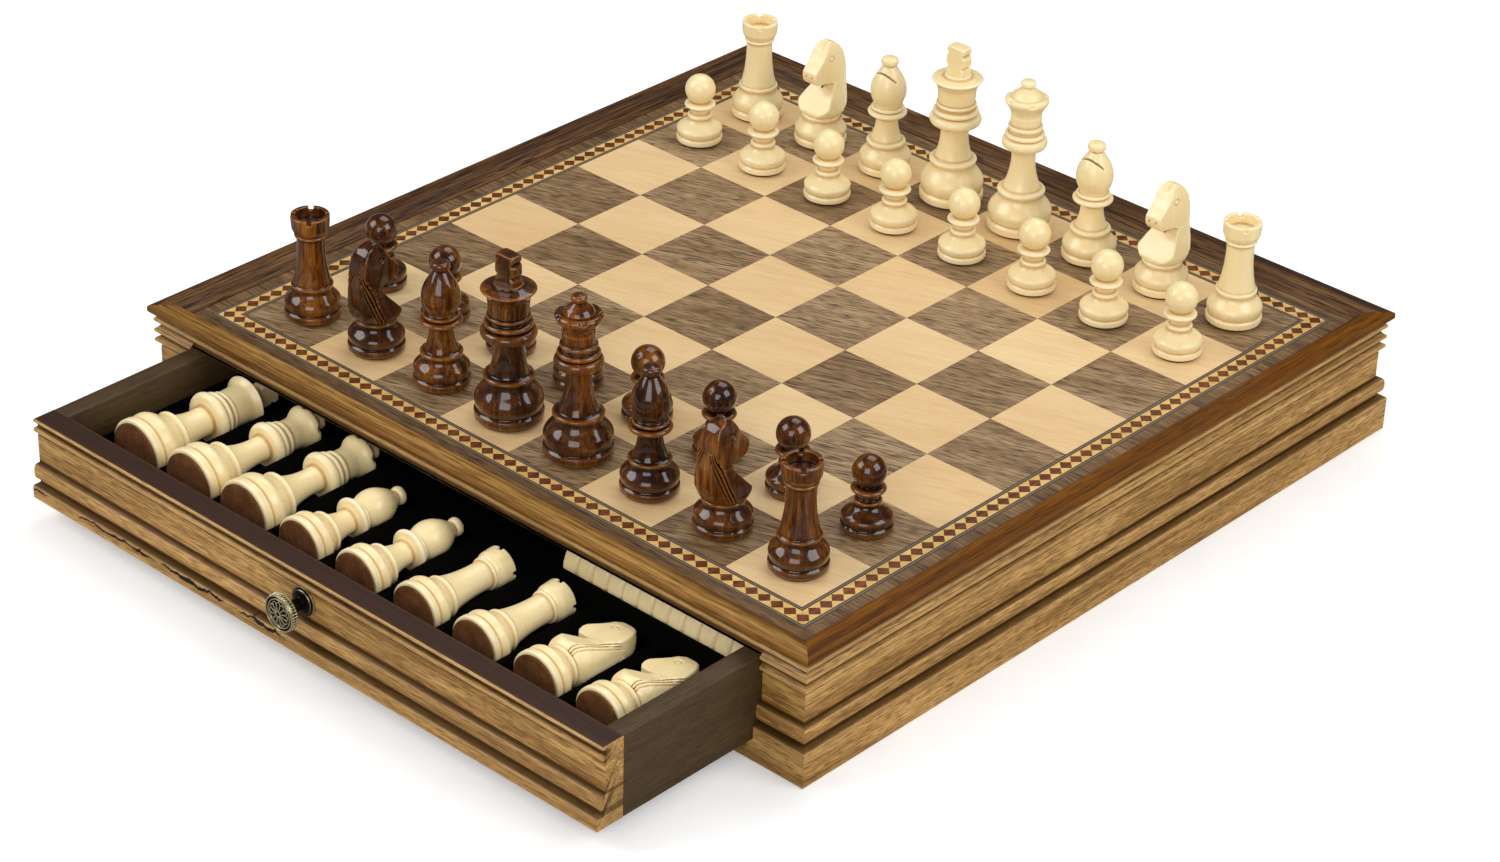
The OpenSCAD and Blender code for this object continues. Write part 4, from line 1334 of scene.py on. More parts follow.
@dataclass
class Board:
    """The inlaid playing surface."""

    lift: float = 0.02
    inlay_t: float = 0.2
    line_half: float = 0.14
    diamond_in: float = 0.12
    diamonds_a_side: int = 50

    def ring(self, middle: float) -> Skin:
        """Four flat mitred white lines, just above the veneer.

        Args:
            middle: Half width to the middle of each.

        Returns:
            The skin.
        """
        z, inner, outer = S.board_z + self.lift, middle - self.line_half, middle + self.line_half
        section = [(inner, z - self.inlay_t), (outer, z - self.inlay_t), (outer, z), (inner, z)]
        strips = [run_along(section, lambda w: -w, lambda w: w, 90.0 * i, 0.01) for i in range(4)]
        return strips[0] + strips[1] + strips[2] + strips[3]

    def diamond(self) -> Skin:
        """One diamond of the banding.

        Returns:
            The skin.
        """
        half, z = S.band_w / 2 - self.diamond_in, S.board_z + self.lift
        corners = [(x * half, y * half, top) for top in (z, z - self.inlay_t)
                   for x, y in ((0, -1), (1, 0), (0, 1), (-1, 0))]
        rims = [(i, 4 + i, 4 + (i + 1) % 4, (i + 1) % 4) for i in range(4)]
        return Skin(np.array(corners, float), [(0, 1, 2, 3), (7, 6, 5, 4), *rims], np.zeros(8))

    def build(self) -> None:
        """Finishes the veneers and lays the white lines and the diamonds."""
        for node, finish in (("dark_squares", DARK_VENEER), ("light_squares", LIGHT_VENEER),
                             ("border_veneer", BORDER_VENEER), ("stringing", BLACK_LINE),
                             ("banding", YELLOW)):
            dressed(node, finish)
        for name, middle in (("inner", S.board_half + S.string_w / 2),
                             ("outer", S.board_half + S.string_w * 1.5 + S.band_w)):
            line = self.ring(middle).piece(f"white_line_{name}", WHITE_LINE)
            finished(line, WHITE_LINE, "case")
        middle = S.board_half + S.string_w + S.band_w / 2
        pitch = 2 * middle / self.diamonds_a_side
        for name, x, y, dx, dy in (("front", -1, -1, 1, 0), ("right", 1, -1, 0, 1),
                                   ("rear", 1, 1, -1, 0), ("left", -1, 1, 0, -1)):
            row = set_out(f"diamonds_{name}", Pattern.ROW, self.diamond(), RED_BROWN,
                          self.diamonds_a_side, (x * middle, y * middle, 0),
                          (dx * pitch, dy * pitch, 0))
            finished(row, RED_BROWN, "case")


# ---------- men ----------


class Kind(Enum):
    """The kinds of men: height, diameter of the base, and the ring's share of the height."""

    KING = (76.0, 29.2, 0.28)
    QUEEN = (73.0, 29.2, 0.28)
    BISHOP = (57.0, 24.5, 0.28)
    KNIGHT = (51.5, 24.5, 0.30)
    ROOK = (48.5, 24.5, 0.34)
    PAWN = (33.5, 21.5, 0.425)


@dataclass(frozen=True)
class Bust:
    """Outlines of the knight's bust, as shares of the base's diameter and of the height."""

    envelope: tuple[tuple[float, float], ...] = (
        (0, 0.3), (0.37, 0.3), (0.43, 0.335), (0.475, 0.4), (0.475, 0.7), (0.45, 0.8),
        (0.4, 0.88), (0.3, 0.95), (0.15, 0.99), (0, 1))
    side: tuple[tuple[float, float], ...] = (
        (0.33, 0.3), (0.355, 0.31), (0.362, 0.328), (0.345, 0.348), (0.03, 0.525),
        (-0.08, 0.605), (0.32, 0.622), (0.375, 0.655), (0.4, 0.7), (0.39, 0.74), (0.33, 0.775),
        (0.24, 0.815), (0.16, 0.865), (0.1, 0.915), (0.04, 0.962), (-0.03, 0.992), (-0.1, 1),
        (-0.25, 0.965), (-0.34, 0.915), (-0.39, 0.84), (-0.43, 0.74), (-0.45, 0.6),
        (-0.455, 0.44), (-0.43, 0.35), (-0.37, 0.3))
    front: tuple[tuple[float, float], ...] = (
        (0.37, 0.3), (0.43, 0.335), (0.42, 0.37), (0.36, 0.45), (0.28, 0.54), (0.24, 0.63),
        (0.22, 0.72), (0.205, 0.82), (0.185, 0.9), (0.145, 0.96), (0.08, 1))
    chest: tuple[tuple[float, float], ...] = ((0.5, -0.5), (0.5, 0.1), (0.43, 0.19),
                                              (0.307, 0.345), (0.307, 0.5))
    head: tuple[tuple[float, float], ...] = ((0.5, -0.5), (0.5, -0.3), (0.26, -0.28),
                                             (0.18, 0.14), (0.165, 0.42))
    jaw: float = 0.612


def scaled(points: Sequence[tuple[float, float]], d: float, h: float) -> Outline:
    """Shares turned into millimetres."""
    return [(a * d, b * h) for a, b in points]


def mirrored(points: Outline) -> Outline:
    """A right half with its mirror image."""
    return points + [(-x, z) for x, z in reversed(points)]


@dataclass
class Man:
    """One turned and carved man that stands at the origin and looks towards +Y."""

    kind: Kind
    felt_t: float = 1.0
    seam: float = 0.05
    bust: Bust = field(default_factory=Bust)

    @property
    def height(self) -> float:
        """Height from the felt to the top."""
        return self.kind.value[0]

    @property
    def base(self) -> float:
        """Diameter of the slab."""
        return self.kind.value[1]

    @property
    def ring_z(self) -> float:
        """Height of the ring on top of the swelling foot."""
        return self.kind.value[2] * self.height

    def foot(self, ring: float = 0.74) -> Outline:
        """The lower part that every man has: slab, groove, swelling and ring.

        Args:
            ring: Diameter of the ring as a share of the base.

        Returns:
            Its profile, from the axis to the ring's upper edge.
        """
        d, r, top = self.base, self.base / 2, self.ring_z
        ring *= d
        slab, u = 0.16 * d, 0.02 * d
        rise = top - slab
        hollow = [(r - 2 * u + 1.7 * u * math.sin(math.radians(10 * i)),
                   slab + u + rise * 0.03 * i) for i in range(10)]
        return [(0.0, self.felt_t + self.seam), (r - u, self.felt_t + self.seam),
                (r, self.felt_t + u), (r, slab), (r - 2 * u, slab + u), *hollow,
                *ogee(r - 0.3 * u, slab + u + rise * 0.27, ring / 2 - u, top - 4.4 * u),
                (ring / 2 - u, top - 4.4 * u), (ring / 2, top - 2.4 * u), (ring / 2, top - u),
                (ring / 2 - 1.5 * u, top)]

    def bead(self, x: float, z0: float, z1: float, out: float) -> Outline:
        """A turned bead, in shares of the base and of the height."""
        d, h = self.base, self.height
        return bead(x * d, z0 * h, z1 * h, out * d)

    def flare(self, r0: float, z0: float, r1: float, z1: float) -> Outline:
        """A turned flare, in shares of the base and of the height."""
        d, h = self.base, self.height
        return flare(r0 * d, z0 * h, r1 * d, z1 * h)

    def king(self) -> Skin:
        """Turned king with a sawn and notched cross.

        Returns:
            The skin.
        """
        h, d = self.height, self.base
        crown = 0.79 * h
        body = turned(self.foot() + [
            *self.flare(0.295, 0.286, 0.217, 0.46), (0.217 * d, 0.498 * h),
            *self.bead(0.33, 0.502, 0.562, 0.075),
            *self.bead(0.3, 0.57, 0.602, 0.055),
            (0.285 * d, 0.604 * h), (0.285 * d, 0.618 * h),
            *self.bead(0.285, 0.62, 0.643, 0.03),
            *curved(scaled([(0.29, 0.65), (0.3, 0.72), (0.325, 0.755), (0.4, 0.79)], d, h)),
            (0.39 * d, crown + 0.018 * d), (0.21 * d, crown + 0.05 * d),
            (0.21 * d, crown + 0.075 * d), (0.19 * d, crown + 0.085 * d),
            (0.0, crown + 0.085 * d)])
        low = crown + 0.07 * d
        block = Block((-7, -4.5, low - 1), (7, 4.5, h + 1), 0.28)
        stub = block.turned([(0.0, low), (0.2 * d, low), (0.19 * d, h - 0.03 * d),
                             (0.16 * d, h - 0.006 * d), (0.0, h)])
        arms = mirrored([(a * d, low + b * (h + 0.5 - low)) for a, b in (
            (0.17, 0), (0.17, 0.2), (0.125, 0.3), (0.19, 0.38), (0.19, 0.62), (0.13, 0.7),
            (0.165, 0.8), (0.165, 1))])
        cross = meet(stub, off_outline(arms, block.x, block.z), 0.5)
        return body + block.skin(meet(cross, np.abs(block.y) - 0.1075 * d, 0.5), 0.8)

    def queen(self) -> Skin:
        """Turned queen with five bites out of the crown's rim.

        Returns:
            The skin.
        """
        h, d = self.height, self.base
        rim = 0.891 * h
        body = turned(self.foot() + [
            *self.flare(0.295, 0.286, 0.185, 0.5), (0.185 * d, 0.554 * h),
            *self.bead(0.285, 0.558, 0.623, 0.065),
            *self.bead(0.26, 0.627, 0.66, 0.047),
            (0.25 * d, 0.662 * h), (0.25 * d, 0.676 * h),
            *self.bead(0.24, 0.679, 0.708, 0.03), (0.235 * d, 0.713 * h),
            (0.238 * d, 0.778 * h), (0.2 * d, 0.78 * h), (0.22 * d, 0.87 * h),
            *curved(scaled([(0.228, 0.896), (0.185, 0.921), (0.128, 0.94), (0.09, 0.953)], d, h)),
            *bead(0.06 * d, 0.957 * h, 0.997 * h, 0.06 * d, 0.7), (0.0, h)])
        block = Block((-11.5, -11.5, 0.77 * h - 1), (11.5, 11.5, rim + 1), 0.34)
        cup = block.turned([(0.0, 0.77 * h), (0.238 * d, 0.77 * h), *curved(scaled(
            [(0.24, 0.79), (0.257, 0.81), (0.284, 0.83), (0.32, 0.85), (0.337, 0.866),
             (0.334, 0.88), (0.305, 0.891)], d, h)), (0.23 * d, rim - 0.015 * d),
            (0.21 * d, rim - 0.03 * d), (0.0, rim - 0.03 * d)])
        for i in range(5):
            a = (i + 0.5) * math.radians(72)
            cup = cut(cup, block.ball(0.35 * d * math.cos(a), 0.35 * d * math.sin(a), rim,
                                      0.07 * d), 0.5)
        return body + block.skin(cup, 0.8)

    def bishop(self) -> Skin:
        """Turned bishop with a slit that slants down into its mitre from the front.

        Returns:
            The skin.
        """
        h, d = self.height, self.base
        low, top = 0.6 * h, 0.925 * h
        head = [(0.36 * d * math.sin(math.radians(46 + 110 * t)) * (1 - 0.16 * t),
                 low + (top - low) * t) for t in (i / 24 for i in range(25))]
        body = turned(self.foot() + [
            *self.flare(0.3, 0.286, 0.205, 0.48),
            *self.bead(0.3, 0.5, 0.545, 0.07),
            *self.bead(0.27, 0.55, 0.58, 0.04),
            (0.25 * d, 0.585 * h), (0.25 * d, low), (0.0, low + 0.5)])
        block = Block((-9.5, -9.5, low - 1), (9.5, 9.5, h + 1), 0.34)
        mitre = block.turned([(0.0, low - 0.3), (0.25 * d, low - 0.3)] + head + [
            *bead(0.09 * d, top + 0.01 * d, h - 0.01 * d, 0.075 * d, 0.7), (0.0, h)])
        lean = math.radians(54)
        y, z = block.y - 0.083 * d, block.z - 0.81 * h
        along = y * math.cos(lean) + z * math.sin(lean)
        across = z * math.cos(lean) - y * math.sin(lean)
        slit = np.maximum(np.maximum(np.abs(across) - 0.42, -along), along - 0.5 * d)
        return body + block.skin(cut(mitre, slit + 0 * block.x, 0.2), 0.7)

    def rook(self) -> Skin:
        """Turned rook with a hollow, notched head.

        Returns:
            The skin.
        """
        h, d = self.height, self.base
        body = turned(self.foot() + [
            *self.flare(0.335, 0.346, 0.245, 0.72), (0.245 * d, 0.785 * h),
            *self.bead(0.25, 0.79, 0.82, 0.035), (0.25 * d, 0.825 * h),
            (0.0, 0.83 * h)])
        block = Block((-9.5, -9.5, 0.8 * h), (9.5, 9.5, h + 1), 0.32)
        cup = block.turned([(0.0, 0.821 * h), (0.25 * d, 0.821 * h), *curved(scaled(
            [(0.27, 0.825), (0.3, 0.845), (0.33, 0.88)], d, h)), (0.345 * d, h - 0.015 * d),
            (0.33 * d, h), (0.0, h)])
        r = np.hypot(block.x, block.y)
        cup = cut(cup, np.maximum(r - 0.26 * d, h - 0.2 * d - block.z), 0.4)
        for across in (block.x, block.y):
            notch = np.maximum(np.abs(across) - 0.0425 * d, h - 0.075 * d - block.z)
            cup = cut(cup, notch + 0 * r, 0.3)
        return body + block.skin(cup, 0.7)

    def pawn(self) -> Skin:
        """Turned pawn.

        Returns:
            The skin.
        """
        h, d = self.height, self.base
        ball, neck = 0.33 * d, 0.18 * d
        tilt = math.degrees(math.acos(neck / ball))
        low = min(0.6 * h, h - ball - ball * math.sin(math.radians(tilt)))
        return turned(self.foot(0.53) + [
            (0.195 * d, 0.43 * h), (0.195 * d, 0.525 * h),
            *self.bead(0.25, 0.53, 0.598, 0.085), (neck, low),
            *arc(0, h - ball, ball, -tilt, 90, 18)], 48)

    def knight(self) -> Skin:
        """Turned foot with a bust that is sawn, then carved with eyes, nostrils and mane.

        Returns:
            The skin.
        """
        h, d, bust = self.height, self.base, self.bust
        body = turned(self.foot() + [(0.0, self.ring_z)])
        block = Block((-12.8, -12.8, 0.28 * h), (12.8, 12.8, h + 1), 0.33)
        shape = meet(block.turned(scaled(bust.envelope, d, h)),
                     off_outline(scaled(bust.side, d, h), block.y, block.z), 0.5)
        front = off_outline(mirrored(scaled(bust.front, d, h)), block.x, block.z)
        shape = meet(shape, front, 0.5)
        chest = off_outline(mirrored(scaled(bust.chest, d, d)), block.x, block.y)
        head = off_outline(mirrored(scaled(bust.head, d, d)), block.x, block.y)
        plan = np.minimum(np.maximum(chest, block.z - bust.jaw * h), head + 0 * block.z)
        shape = meet(shape, plan, 0.4)
        back = np.degrees(np.arctan2(np.abs(block.x), -block.y))
        reach = np.hypot(block.x, block.y)
        for i in range(3):
            path = np.interp(block.z, [0.34 * h, 0.76 * h], [70.0 - 8 * i, 19.0 - 6 * i])
            sheet = np.abs(np.radians(back - path)) * reach * 0.85
            deep = (1.0 - 0.2 * i) * np.clip((0.8 * h - block.z) / (0.1 * h), 0, 1) + 0.01
            shape = cut(shape, np.maximum(sheet - 0.24, -(shape + deep)), 0.12)
        side = 0.1 * d - np.abs(block.x)
        eye = np.hypot((block.y + 0.03 * d) * 0.8, block.z - 0.845 * h)
        lid = np.maximum(np.abs(eye - 1.25) - 0.28, side)
        shape = cut(shape, np.maximum(lid, -(shape + 0.5)), 0.12)
        nostril = np.hypot(np.abs(block.x) - 0.072 * d, block.z - 0.7 * h) - 0.55
        nostril = np.maximum(nostril, 0.3 * d - block.y)
        shape = cut(shape, np.maximum(nostril, -(shape + 0.9)), 0.1)
        ears = block.rod((0, 0.2 * d, 0.915 * h), (0, -0.04 * d, 1.02 * h), 1.5)
        return body + block.skin(cut(shape, ears, 0.5), 0.8)

    def skin(self) -> Skin:
        """The man's wood."""
        return {Kind.KING: self.king, Kind.QUEEN: self.queen, Kind.BISHOP: self.bishop,
                Kind.KNIGHT: self.knight, Kind.ROOK: self.rook, Kind.PAWN: self.pawn}[self.kind]()

    def felt(self) -> Skin:
        """The disc under the man."""
        r = 0.45 * self.base
        return turned([(0.0, 0.0), (r, 0.0), (r, self.felt_t), (0.0, self.felt_t)], 48, 0.3)


@dataclass
class Group:
    """Men of one kind that share a node."""

    node: str
    body: str
    kind: Kind
    finish: Wood
    count: int
    start: tuple[float, float, float]
    step: tuple[float, float, float]
    turn: tuple[float, float, float] = (0.0, 0.0, 0.0)

    def build(self) -> None:
        """Sets out the men and their felts."""
        man, felt = Man(self.kind), replace(FELT, slot=self.finish.slot)
        for part, skin, finish, nodes in (("wood", man.skin(), self.finish, [self.node]),
                                          ("felt", man.felt(), felt, [])):
            made = set_out(f"{self.node}_{part}", Pattern.ROW, skin, finish, self.count,
                           self.start, self.step, self.turn)
            finished(made, finish, self.body, *nodes)


@dataclass
class Army:
    """The sixteen men of one side on the board. Places are in squares from the middle."""

    colour: str
    finish: Wood
    back_y: float
    pawn_y: float
    facing: float

    def build(self) -> None:
        """Sets up the two ranks."""
        plain, turn = (0.0, 0.0, 0.0), (0.0, 0.0, math.radians(self.facing))
        for name, kind, count, x, step, angle in (
                ("king", Kind.KING, 1, -0.5, 0, plain), ("queen", Kind.QUEEN, 1, 0.5, 0, plain),
                ("bishops", Kind.BISHOP, 2, -1.5, 3, turn),
                ("knights", Kind.KNIGHT, 2, -2.5, 5, turn),
                ("rooks", Kind.ROOK, 2, -3.5, 7, (0.0, 0.0, math.radians(45))),
                ("pawns", Kind.PAWN, 8, -3.5, 1, plain)):
            node, y = f"{self.colour}_{name}", self.pawn_y if kind is Kind.PAWN else self.back_y
            Group(node, node, kind, self.finish, count,
                  (x * S.square, y * S.square, S.board_z), (step * S.square, 0, 0),
                  angle).build()


# ---------- drawers ----------


class Side(Enum):
    """The two drawers: first word of their names, turn about Z, how far each stands open."""

    FRONT = ("front", 0.0, S.pull)
    REAR = ("rear", math.pi, 0.0)

    @property
    def word(self) -> str:
        """First word of the drawer's names."""
        return self.value[0]

    @property
    def place(self) -> Matrix:
        """From a shut drawer at the front to this drawer at rest."""
        return Matrix.Rotation(self.value[1], 4, "Z") @ Matrix.Translation((0, -self.value[2], 0))


@dataclass
class Knob:
    """A cast knob with twelve petals and a ribbed rim, on the flat of a drawer's face."""

    diameter: float = 16.4
    projection: float = 14.3
    foot: float = 12.8
    waist: float = 5.4
    disc_h: float = 4.2
    petals: int = 12
    petal_mid: float = 3.15
    petal_half_l: float = 2.15
    petal_half_w: float = 0.92
    petal_wire: float = 0.19
    ribs: int = 40
    rib_half_w: float = 0.26
    rib_l: float = 2.3
    rib_down: float = 3.8
    drop: float = 0.8
    hoop_wires: tuple[float, float] = (0.3, 0.2)

    def turned_body(self) -> Skin:
        """Flanged foot, waist, and a disc with a channel round a sunk ground.

        Returns:
            The skin, face up.
        """
        r, top = self.diameter / 2, self.projection
        under = top - self.disc_h
        return turned([
            (0, 0), (self.foot / 2, 0), (self.foot / 2, 0.8), (self.foot / 2 - 0.8, 1.1),
            *ogee(self.foot / 2 - 0.8, 1.1, self.waist / 2, 3.6),
            (self.waist / 2, 3.6), (self.waist / 2, under - 2),
            *ogee(self.waist / 2, under - 2, r - 0.9, under, 8),
            (r - 0.5, under), (r - 0.35, under + 0.3), (r - 0.35, under + 2.9),
            (r - 0.8, under + 3.1), (r - 1.0, under + 2.6), (r - 1.6, under + 2.6),
            (r - 1.8, under + 2.95), (r - 2.2, under + 2.95), (r - 2.4, under + 2.6),
            (2.0, top - 0.85), (1.0, top - 0.7), (0, top - 0.65)], 72, 0.15, 0.5)

    @staticmethod
    def wire(line: list[Vector], thick: float) -> Skin:
        """A closed wire, raised off the ground.

        Args:
            line: Points along its middle.
            thick: Its radius.

        Returns:
            The skin.
        """
        count = len(line)
        corners, faces = [], []
        for i, p in enumerate(line):
            along = (line[(i + 1) % count] - line[i - 1]).normalized()
            out = along.cross(Vector((0, 0, 1))).normalized()
            for k in range(6):
                b = 2 * math.pi * k / 6
                corners.append(p + out * thick * math.cos(b)
                               + Vector((0, 0, thick * math.sin(b))))
                j, m = (i + 1) % count, (k + 1) % 6
                faces.append((i * 6 + k, j * 6 + k, j * 6 + m, i * 6 + m))
        return Skin(np.array(corners), faces, np.full(len(corners), 0.3))

    def petal(self) -> Skin:
        """The raised outline of one petal.

        Returns:
            The skin.
        """
        line: list[Vector] = []
        for i in range(22):
            a = 2 * math.pi * i / 22
            reach = self.petal_mid + self.petal_half_l * math.cos(a)
            wide = self.petal_half_w * math.sin(a) * (1.0 + 0.5 * math.cos(a))
            line.append(Vector((reach, wide, self.projection - 0.72 - 0.09 * (reach - 1))))
        return self.wire(line, self.petal_wire)

    def hoops(self) -> Skin:
        """The wires on the rim and round the ground.

        Returns:
            The skin.
        """
        r, turns = self.diameter / 2, [2 * math.pi * i / 72 for i in range(72)]
        z = self.projection - 1.12
        outer, inner = ([Vector((q * math.cos(a), q * math.sin(a), z)) for a in turns]
                        for q in (r - 0.6, r - 2.0))
        return self.wire(outer, self.hoop_wires[0]) + self.wire(inner, self.hoop_wires[1])

    def rib(self) -> Skin:
        """One rib of the rim.

        Returns:
            The skin.
        """
        r, low = self.diameter / 2 - 0.3, self.projection - self.rib_down
        half, high = self.rib_half_w, low + self.rib_l
        pts = [(r - 0.3, -half), (r + 0.08, -half * 0.7), (r + 0.28, 0), (r + 0.08, half * 0.7),
               (r - 0.3, half)]
        corners = [(x, y, z) for z in (low, high) for x, y in pts]
        faces: list[tuple[int, ...]] = [(i, (i + 1) % 5, 5 + (i + 1) % 5, 5 + i)
                                        for i in range(5)]
        faces += [(4, 3, 2, 1, 0), (5, 6, 7, 8, 9)]
        return Skin(np.array(corners, float), faces, np.full(10, 0.4))

    def build(self, side: Side) -> None:
        """Makes one drawer's knob.

        Args:
            side: The drawer.
        """
        spot = (0, S.face_y, Case().flat_z - self.drop)
        place = side.place @ Matrix.Translation(spot) @ Matrix.Rotation(math.pi / 2, 4, "X")
        word, body = side.word, f"{side.word}_drawer"
        core = self.turned_body().moved(place).piece(f"{word}_knob_casting", BRONZE, 60)
        finished(core, BRONZE, body, f"{word}_knob")
        hoops = self.hoops().moved(place).piece(f"{word}_knob_hoops", RUBBED, 75)
        finished(hoops, RUBBED, body)
        for name, model, count in (("petals", self.petal(), self.petals),
                                   ("ribs", self.rib(), self.ribs)):
            ring = set_out(f"{word}_knob_{name}", Pattern.RING, model, RUBBED, count,
                           (0, 0, 0), turn=(0, 0, 1), sharp=75)
            ring.data.transform(Matrix.Translation(place.translation * MM)
                                @ place.to_3x3().to_4x4())
            finished(ring, RUBBED, body)
        dressed(f"{word}_knob_screw", SCREW_METAL)


@dataclass
class Drawer:
    """One drawer with its moulded face, stained box, flocked tray and what lies in it."""

    side: Side
    berth_pitch: float = 33.5
    berth_gap: float = 0.5
    tray_half: float = 154.8
    tray_back_y: float = -17.3
    tray_gap: float = 0.3
    well: tuple[float, float] = (46.0, 4.0)
    well_floor: float = 2.4
    trough_in: float = 78.4
    trough: tuple[float, float] = (47.8, 148.8)
    row_sink: float = 1.5
    row_end: float = 6.5
    draughts_count: int = 12
    draught_pitch: float = 8.25
    draught_r: float = 12.75
    draught_t: float = 8.15
    draught_gap: float = 0.05
    draught_spin: float = 3.0
    draught_seed: int = 7
    stain_in: float = 0.15
    stain_back: float = 3.1
    stain_t: float = 0.3
    stain_proud: float = 0.03
    stain_short: float = 0.5
    rounding: float = 0.4
    soft: float = 1.2
    cell: float = 1.7
    stored: tuple[Kind, ...] = (Kind.KNIGHT, Kind.KNIGHT, Kind.ROOK, Kind.ROOK, Kind.BISHOP,
                                Kind.BISHOP, Kind.QUEEN, Kind.QUEEN, Kind.KING)
    heads: dict[Kind, float] = field(default_factory=lambda: {
        Kind.KING: 0.82, Kind.QUEEN: 0.7, Kind.BISHOP: 0.76, Kind.KNIGHT: 0.98,
        Kind.ROOK: 0.76})

    @property
    def body(self) -> str:
        """Body that the drawer's pieces move with."""
        return f"{self.side.word}_drawer"

    def tray(self) -> Skin:
        """The tray: a soft-edged slab with berths, a trough and a well.

        Returns:
            The skin, for a shut front drawer.
        """
        top, low = S.tray_top, S.tray_top - S.tray_h
        front, back = -S.face_back + self.tray_gap, self.tray_back_y
        half, edge = self.tray_half, 1.5
        block = Block((-half - edge, front - edge, low - edge),
                      (half + edge, back + edge, top + edge), self.cell)
        shape = block.box((-half, front, low), (half, back, top))
        for i, kind in enumerate(self.stored):
            x = (4 - i) * self.berth_pitch
            high, base = kind.value[:2]
            r = np.hypot(block.x - x, block.z - top)
            for radius, near, far in (
                    (base / 2 + self.berth_gap, -1.0, Man(kind).ring_z + 1.0),
                    (self.heads[kind] * base / 2 + self.berth_gap, 0.0, high + 1.0)):
                ends = np.maximum(S.foot_y + near - block.y, block.y - S.foot_y - far)
                shape = cut(shape, np.maximum(r - radius, ends), self.soft)
        row = np.hypot(block.y - (S.foot_y + self.trough_in), block.z - (top - self.row_sink))
        ends = np.maximum(self.trough[0] - block.x, block.x - self.trough[1])
        shape = cut(shape, np.maximum(row - self.draught_r - self.berth_gap, ends), self.soft)
        far, rim = self.well
        well = block.box((-half + rim, back - far, low + self.well_floor),
                         (half - rim, back - rim, top + 9))
        return block.skin(cut(shape, well, self.soft))

    def face(self) -> None:
        """Makes the moulded face and the dark stained strip on its top edge."""
        word, place, half = self.side.word, self.side.place, S.opening_half
        finish = FACE_FRONT if self.side is Side.FRONT else CASE_X
        run = run_along(Case().face_section(), lambda w: -half + S.gap, lambda w: half - S.gap,
                        -90.0)
        finished(run.moved(place).piece(f"{word}_face_moulding", finish), finish, self.body,
                 f"{word}_drawer_face")
        top = S.bottom_rail_h + S.gap + S.drawer_h
        inner, outer = S.face_back + self.stain_in, S.case_half - self.stain_back
        low, high, end = top - self.stain_t, top + self.stain_proud, half - self.stain_short
        stain = run_along([(inner, low), (outer, low), (outer, high), (inner, high)],
                          lambda w: -end, lambda w: end, -90.0, 0.02)
        finished(stain.moved(place).piece(f"{word}_face_top_stain", TOP_STAIN), TOP_STAIN,
                 self.body)

    def build(self) -> None:
        """Makes the drawer and what lies in it."""
        word = self.side.word
        self.face()
        for part, finish in (("side_left", STAINED_Y), ("side_right", STAINED_Y),
                             ("back", STAINED_X), ("bottom", STAINED_X)):
            eased_copy(f"{word}_drawer_{part}", finish, self.body, self.rounding)
        tray = self.tray().moved(self.side.place).piece(f"{word}_flocked_tray", FLOCK, 180)
        finished(tray, FLOCK, self.body, f"{word}_drawer_tray")
        Knob().build(self.side)
        self.draughts()
        if self.side is Side.FRONT:
            self.men()

    def draughts(self) -> None:
        """A row of draughtsmen on edge in the trough."""
        r, t = self.draught_r, self.draught_t
        shoulder = [(r - 2.0, 0.0), (r - 0.8, 0.35), (r - 0.2, 1.0), (r, 2.0)]
        disc = turned([(0, 0), *shoulder, *[(x, t - z) for x, z in reversed(shoulder)], (0, t)],
                      48, 0.3)
        place, count = self.side.place, self.draughts_count
        x = self.tray_half - self.row_end - count * self.draught_pitch + self.draught_gap
        start = place @ Vector((x, S.foot_y + self.trough_in, S.tray_top - self.row_sink))
        step = place.to_3x3() @ Vector((self.draught_pitch, 0, 0))
        turn = (place.to_3x3() @ Matrix.Rotation(math.pi / 2, 3, "Y")).to_euler()
        finish, node = (BOX_UPRIGHT, "light_draughts") if self.side is Side.FRONT \
            else (LACQUER, "dark_draughts")
        made = set_out(f"{node}_row", Pattern.ROW, disc, finish, count, start, step, turn,
                       (0.0, 0.0, self.draught_spin), self.draught_seed)
        finished(made, finish, self.body, node)

    def men(self) -> None:
        """The light men on their sides in their berths."""
        turn = (Matrix.Rotation(-math.pi / 2, 3, "X")
                @ Matrix.Rotation(math.pi / 2, 3, "Z")).to_euler()
        for kind in (Kind.KNIGHT, Kind.ROOK, Kind.BISHOP, Kind.QUEEN, Kind.KING):
            count, first = self.stored.count(kind), self.stored.index(kind)
            name = kind.name.lower() + ("s" if count > 1 else "")
            Group(f"stored_{name}", self.body, kind, BOX_LYING, count,
                  ((4 - first) * self.berth_pitch, S.foot_y - S.pull, S.tray_top),
                  (-self.berth_pitch, 0, 0), tuple(turn)).build()


# ---------- studio ----------


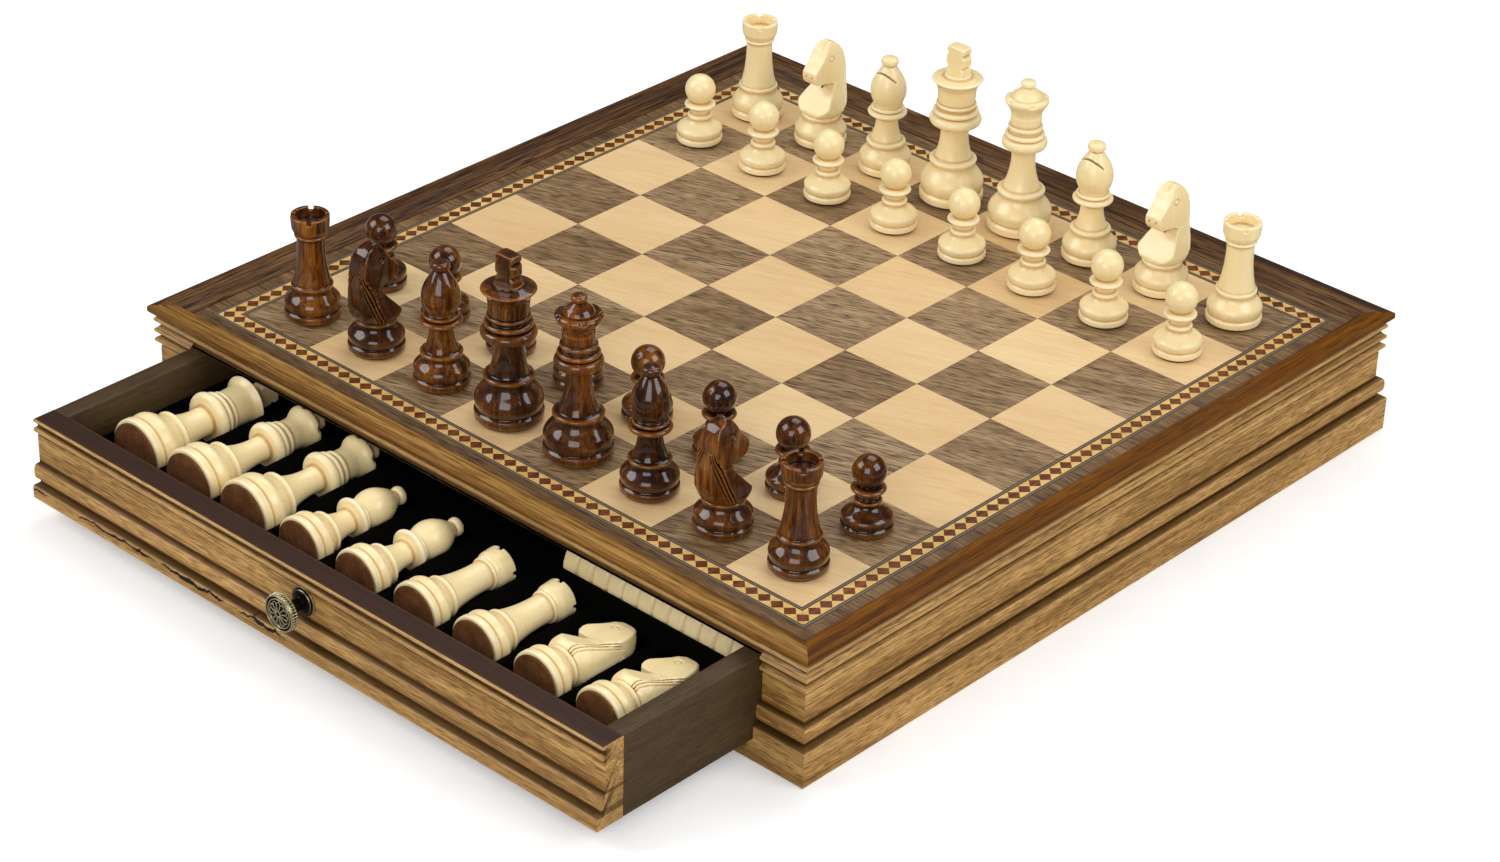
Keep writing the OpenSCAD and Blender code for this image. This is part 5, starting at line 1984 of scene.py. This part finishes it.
@dataclass
class Studio:
    """Plain floor, soft lamps and the camera. Camera lengths are in squares."""

    azimuth: float = 41.846
    elevation: float = 30.748
    roll: float = 1.862
    distance: float = 39.838
    target: tuple[float, float] = (1.431, -1.952)
    focal_pixels: float = 3898.8
    picture_pixels: int = 1500
    sensor: float = 36.0
    floor_half: float = 2200.0
    fill: float = 0.32
    gleam: float = 0.06
    lamps: tuple[tuple[str, tuple[float, float, float], float, float], ...] = (
        ("left_box", (-1.1, -1.2, 1.3), 1.15, 18.0), ("right_box", (1.5, 0.3, 1.2), 1.15, 16.0),
        ("top_box", (-0.3, 0.9, 1.9), 1.4, 14.0), ("front_box", (0.8, -1.5, 0.8), 1.0, 10.5))

    def camera(self) -> None:
        """Sets the camera where the box is seen from."""
        az, el = math.radians(self.azimuth), math.radians(self.elevation)
        back = Vector((math.sin(az) * math.cos(el), -math.cos(az) * math.cos(el), math.sin(el)))
        right = Vector((math.cos(az), math.sin(az), 0))
        roll = Matrix.Rotation(math.radians(self.roll), 3, back)
        data = bpy.data.cameras.new("camera")
        data.sensor_width = self.sensor
        data.lens = self.focal_pixels / self.picture_pixels * self.sensor
        data.clip_end = 20.0
        made = linked("camera", data)
        turn = Matrix((roll @ right, roll @ back.cross(right), back)).transposed().to_4x4()
        target = Vector((self.target[0] * S.square, self.target[1] * S.square, S.board_z))
        spot = target + back * (self.distance * S.square)
        made.matrix_world = Matrix.Translation(spot * MM) @ turn
        bpy.context.scene.camera = made

    def lamp(self, name: str, spot: Sequence[float], size: float, power: float) -> None:
        """Adds a soft lamp that looks at the box.

        Args:
            name: Its name.
            spot: Its place in metres.
            size: Width of its square in metres.
            power: Power in watts.
        """
        data = bpy.data.lights.new(name, "AREA")
        data.shape, data.size, data.energy = "SQUARE", size, power
        made = linked(name, data)
        made.location = spot
        made.rotation_euler = (Vector((0, -0.03, 0.05)) - Vector(spot)).to_track_quat(
            "-Z", "Y").to_euler()

    def world(self) -> None:
        """A white world that is dim as a lamp and dimmer in reflections."""
        made = bpy.data.worlds.new("studio")
        bpy.context.scene.world = made
        made.use_nodes = True
        tree = made.node_tree
        path = tree.nodes.new("ShaderNodeLightPath").outputs
        strength: Any = self.fill
        for ray, other in (("Is Glossy Ray", self.gleam), ("Is Camera Ray", 1.0)):
            strength = add_node(tree, "ShaderNodeMix", {
                0: path[ray], 2: strength, 3: other}).outputs[0]
        sky = tree.nodes["Background"]
        sky.inputs[0].default_value = (1.0, 1.0, 1.0, 1.0)
        tree.links.new(strength, sky.inputs[1])

    def build(self) -> None:
        """Makes the floor, the lamps, the world and the camera."""
        self.camera()
        corners = [(x * self.floor_half, y * self.floor_half, -0.1)
                   for x, y in ((-1, -1), (1, -1), (1, 1), (-1, 1))]
        floor = Skin(np.array(corners, float), [(0, 1, 2, 3)], np.zeros(4))
        floor.piece("floor", Backdrop("backdrop_paper", ""))
        for lamp in self.lamps:
            self.lamp(*lamp)
        self.world()
        bpy.context.scene.view_settings.view_transform = "Standard"


def main() -> None:
    """Builds the box from the case to what lies in its drawers."""
    logging.basicConfig(level=logging.INFO, format="%(message)s")
    parts: list[Any] = [
        Studio(), Case(), Carcase(), Board(),
        Army("light", BOX_UPRIGHT, 3.5, 2.5, 180.0),
        Army("dark", LACQUER, -3.5, -2.5, 0.0),
        Drawer(Side.FRONT), Drawer(Side.REAR)]
    for part in parts:
        LOG.info("making %s", type(part).__name__)
        part.build()


if __name__ == "__main__":
    main()
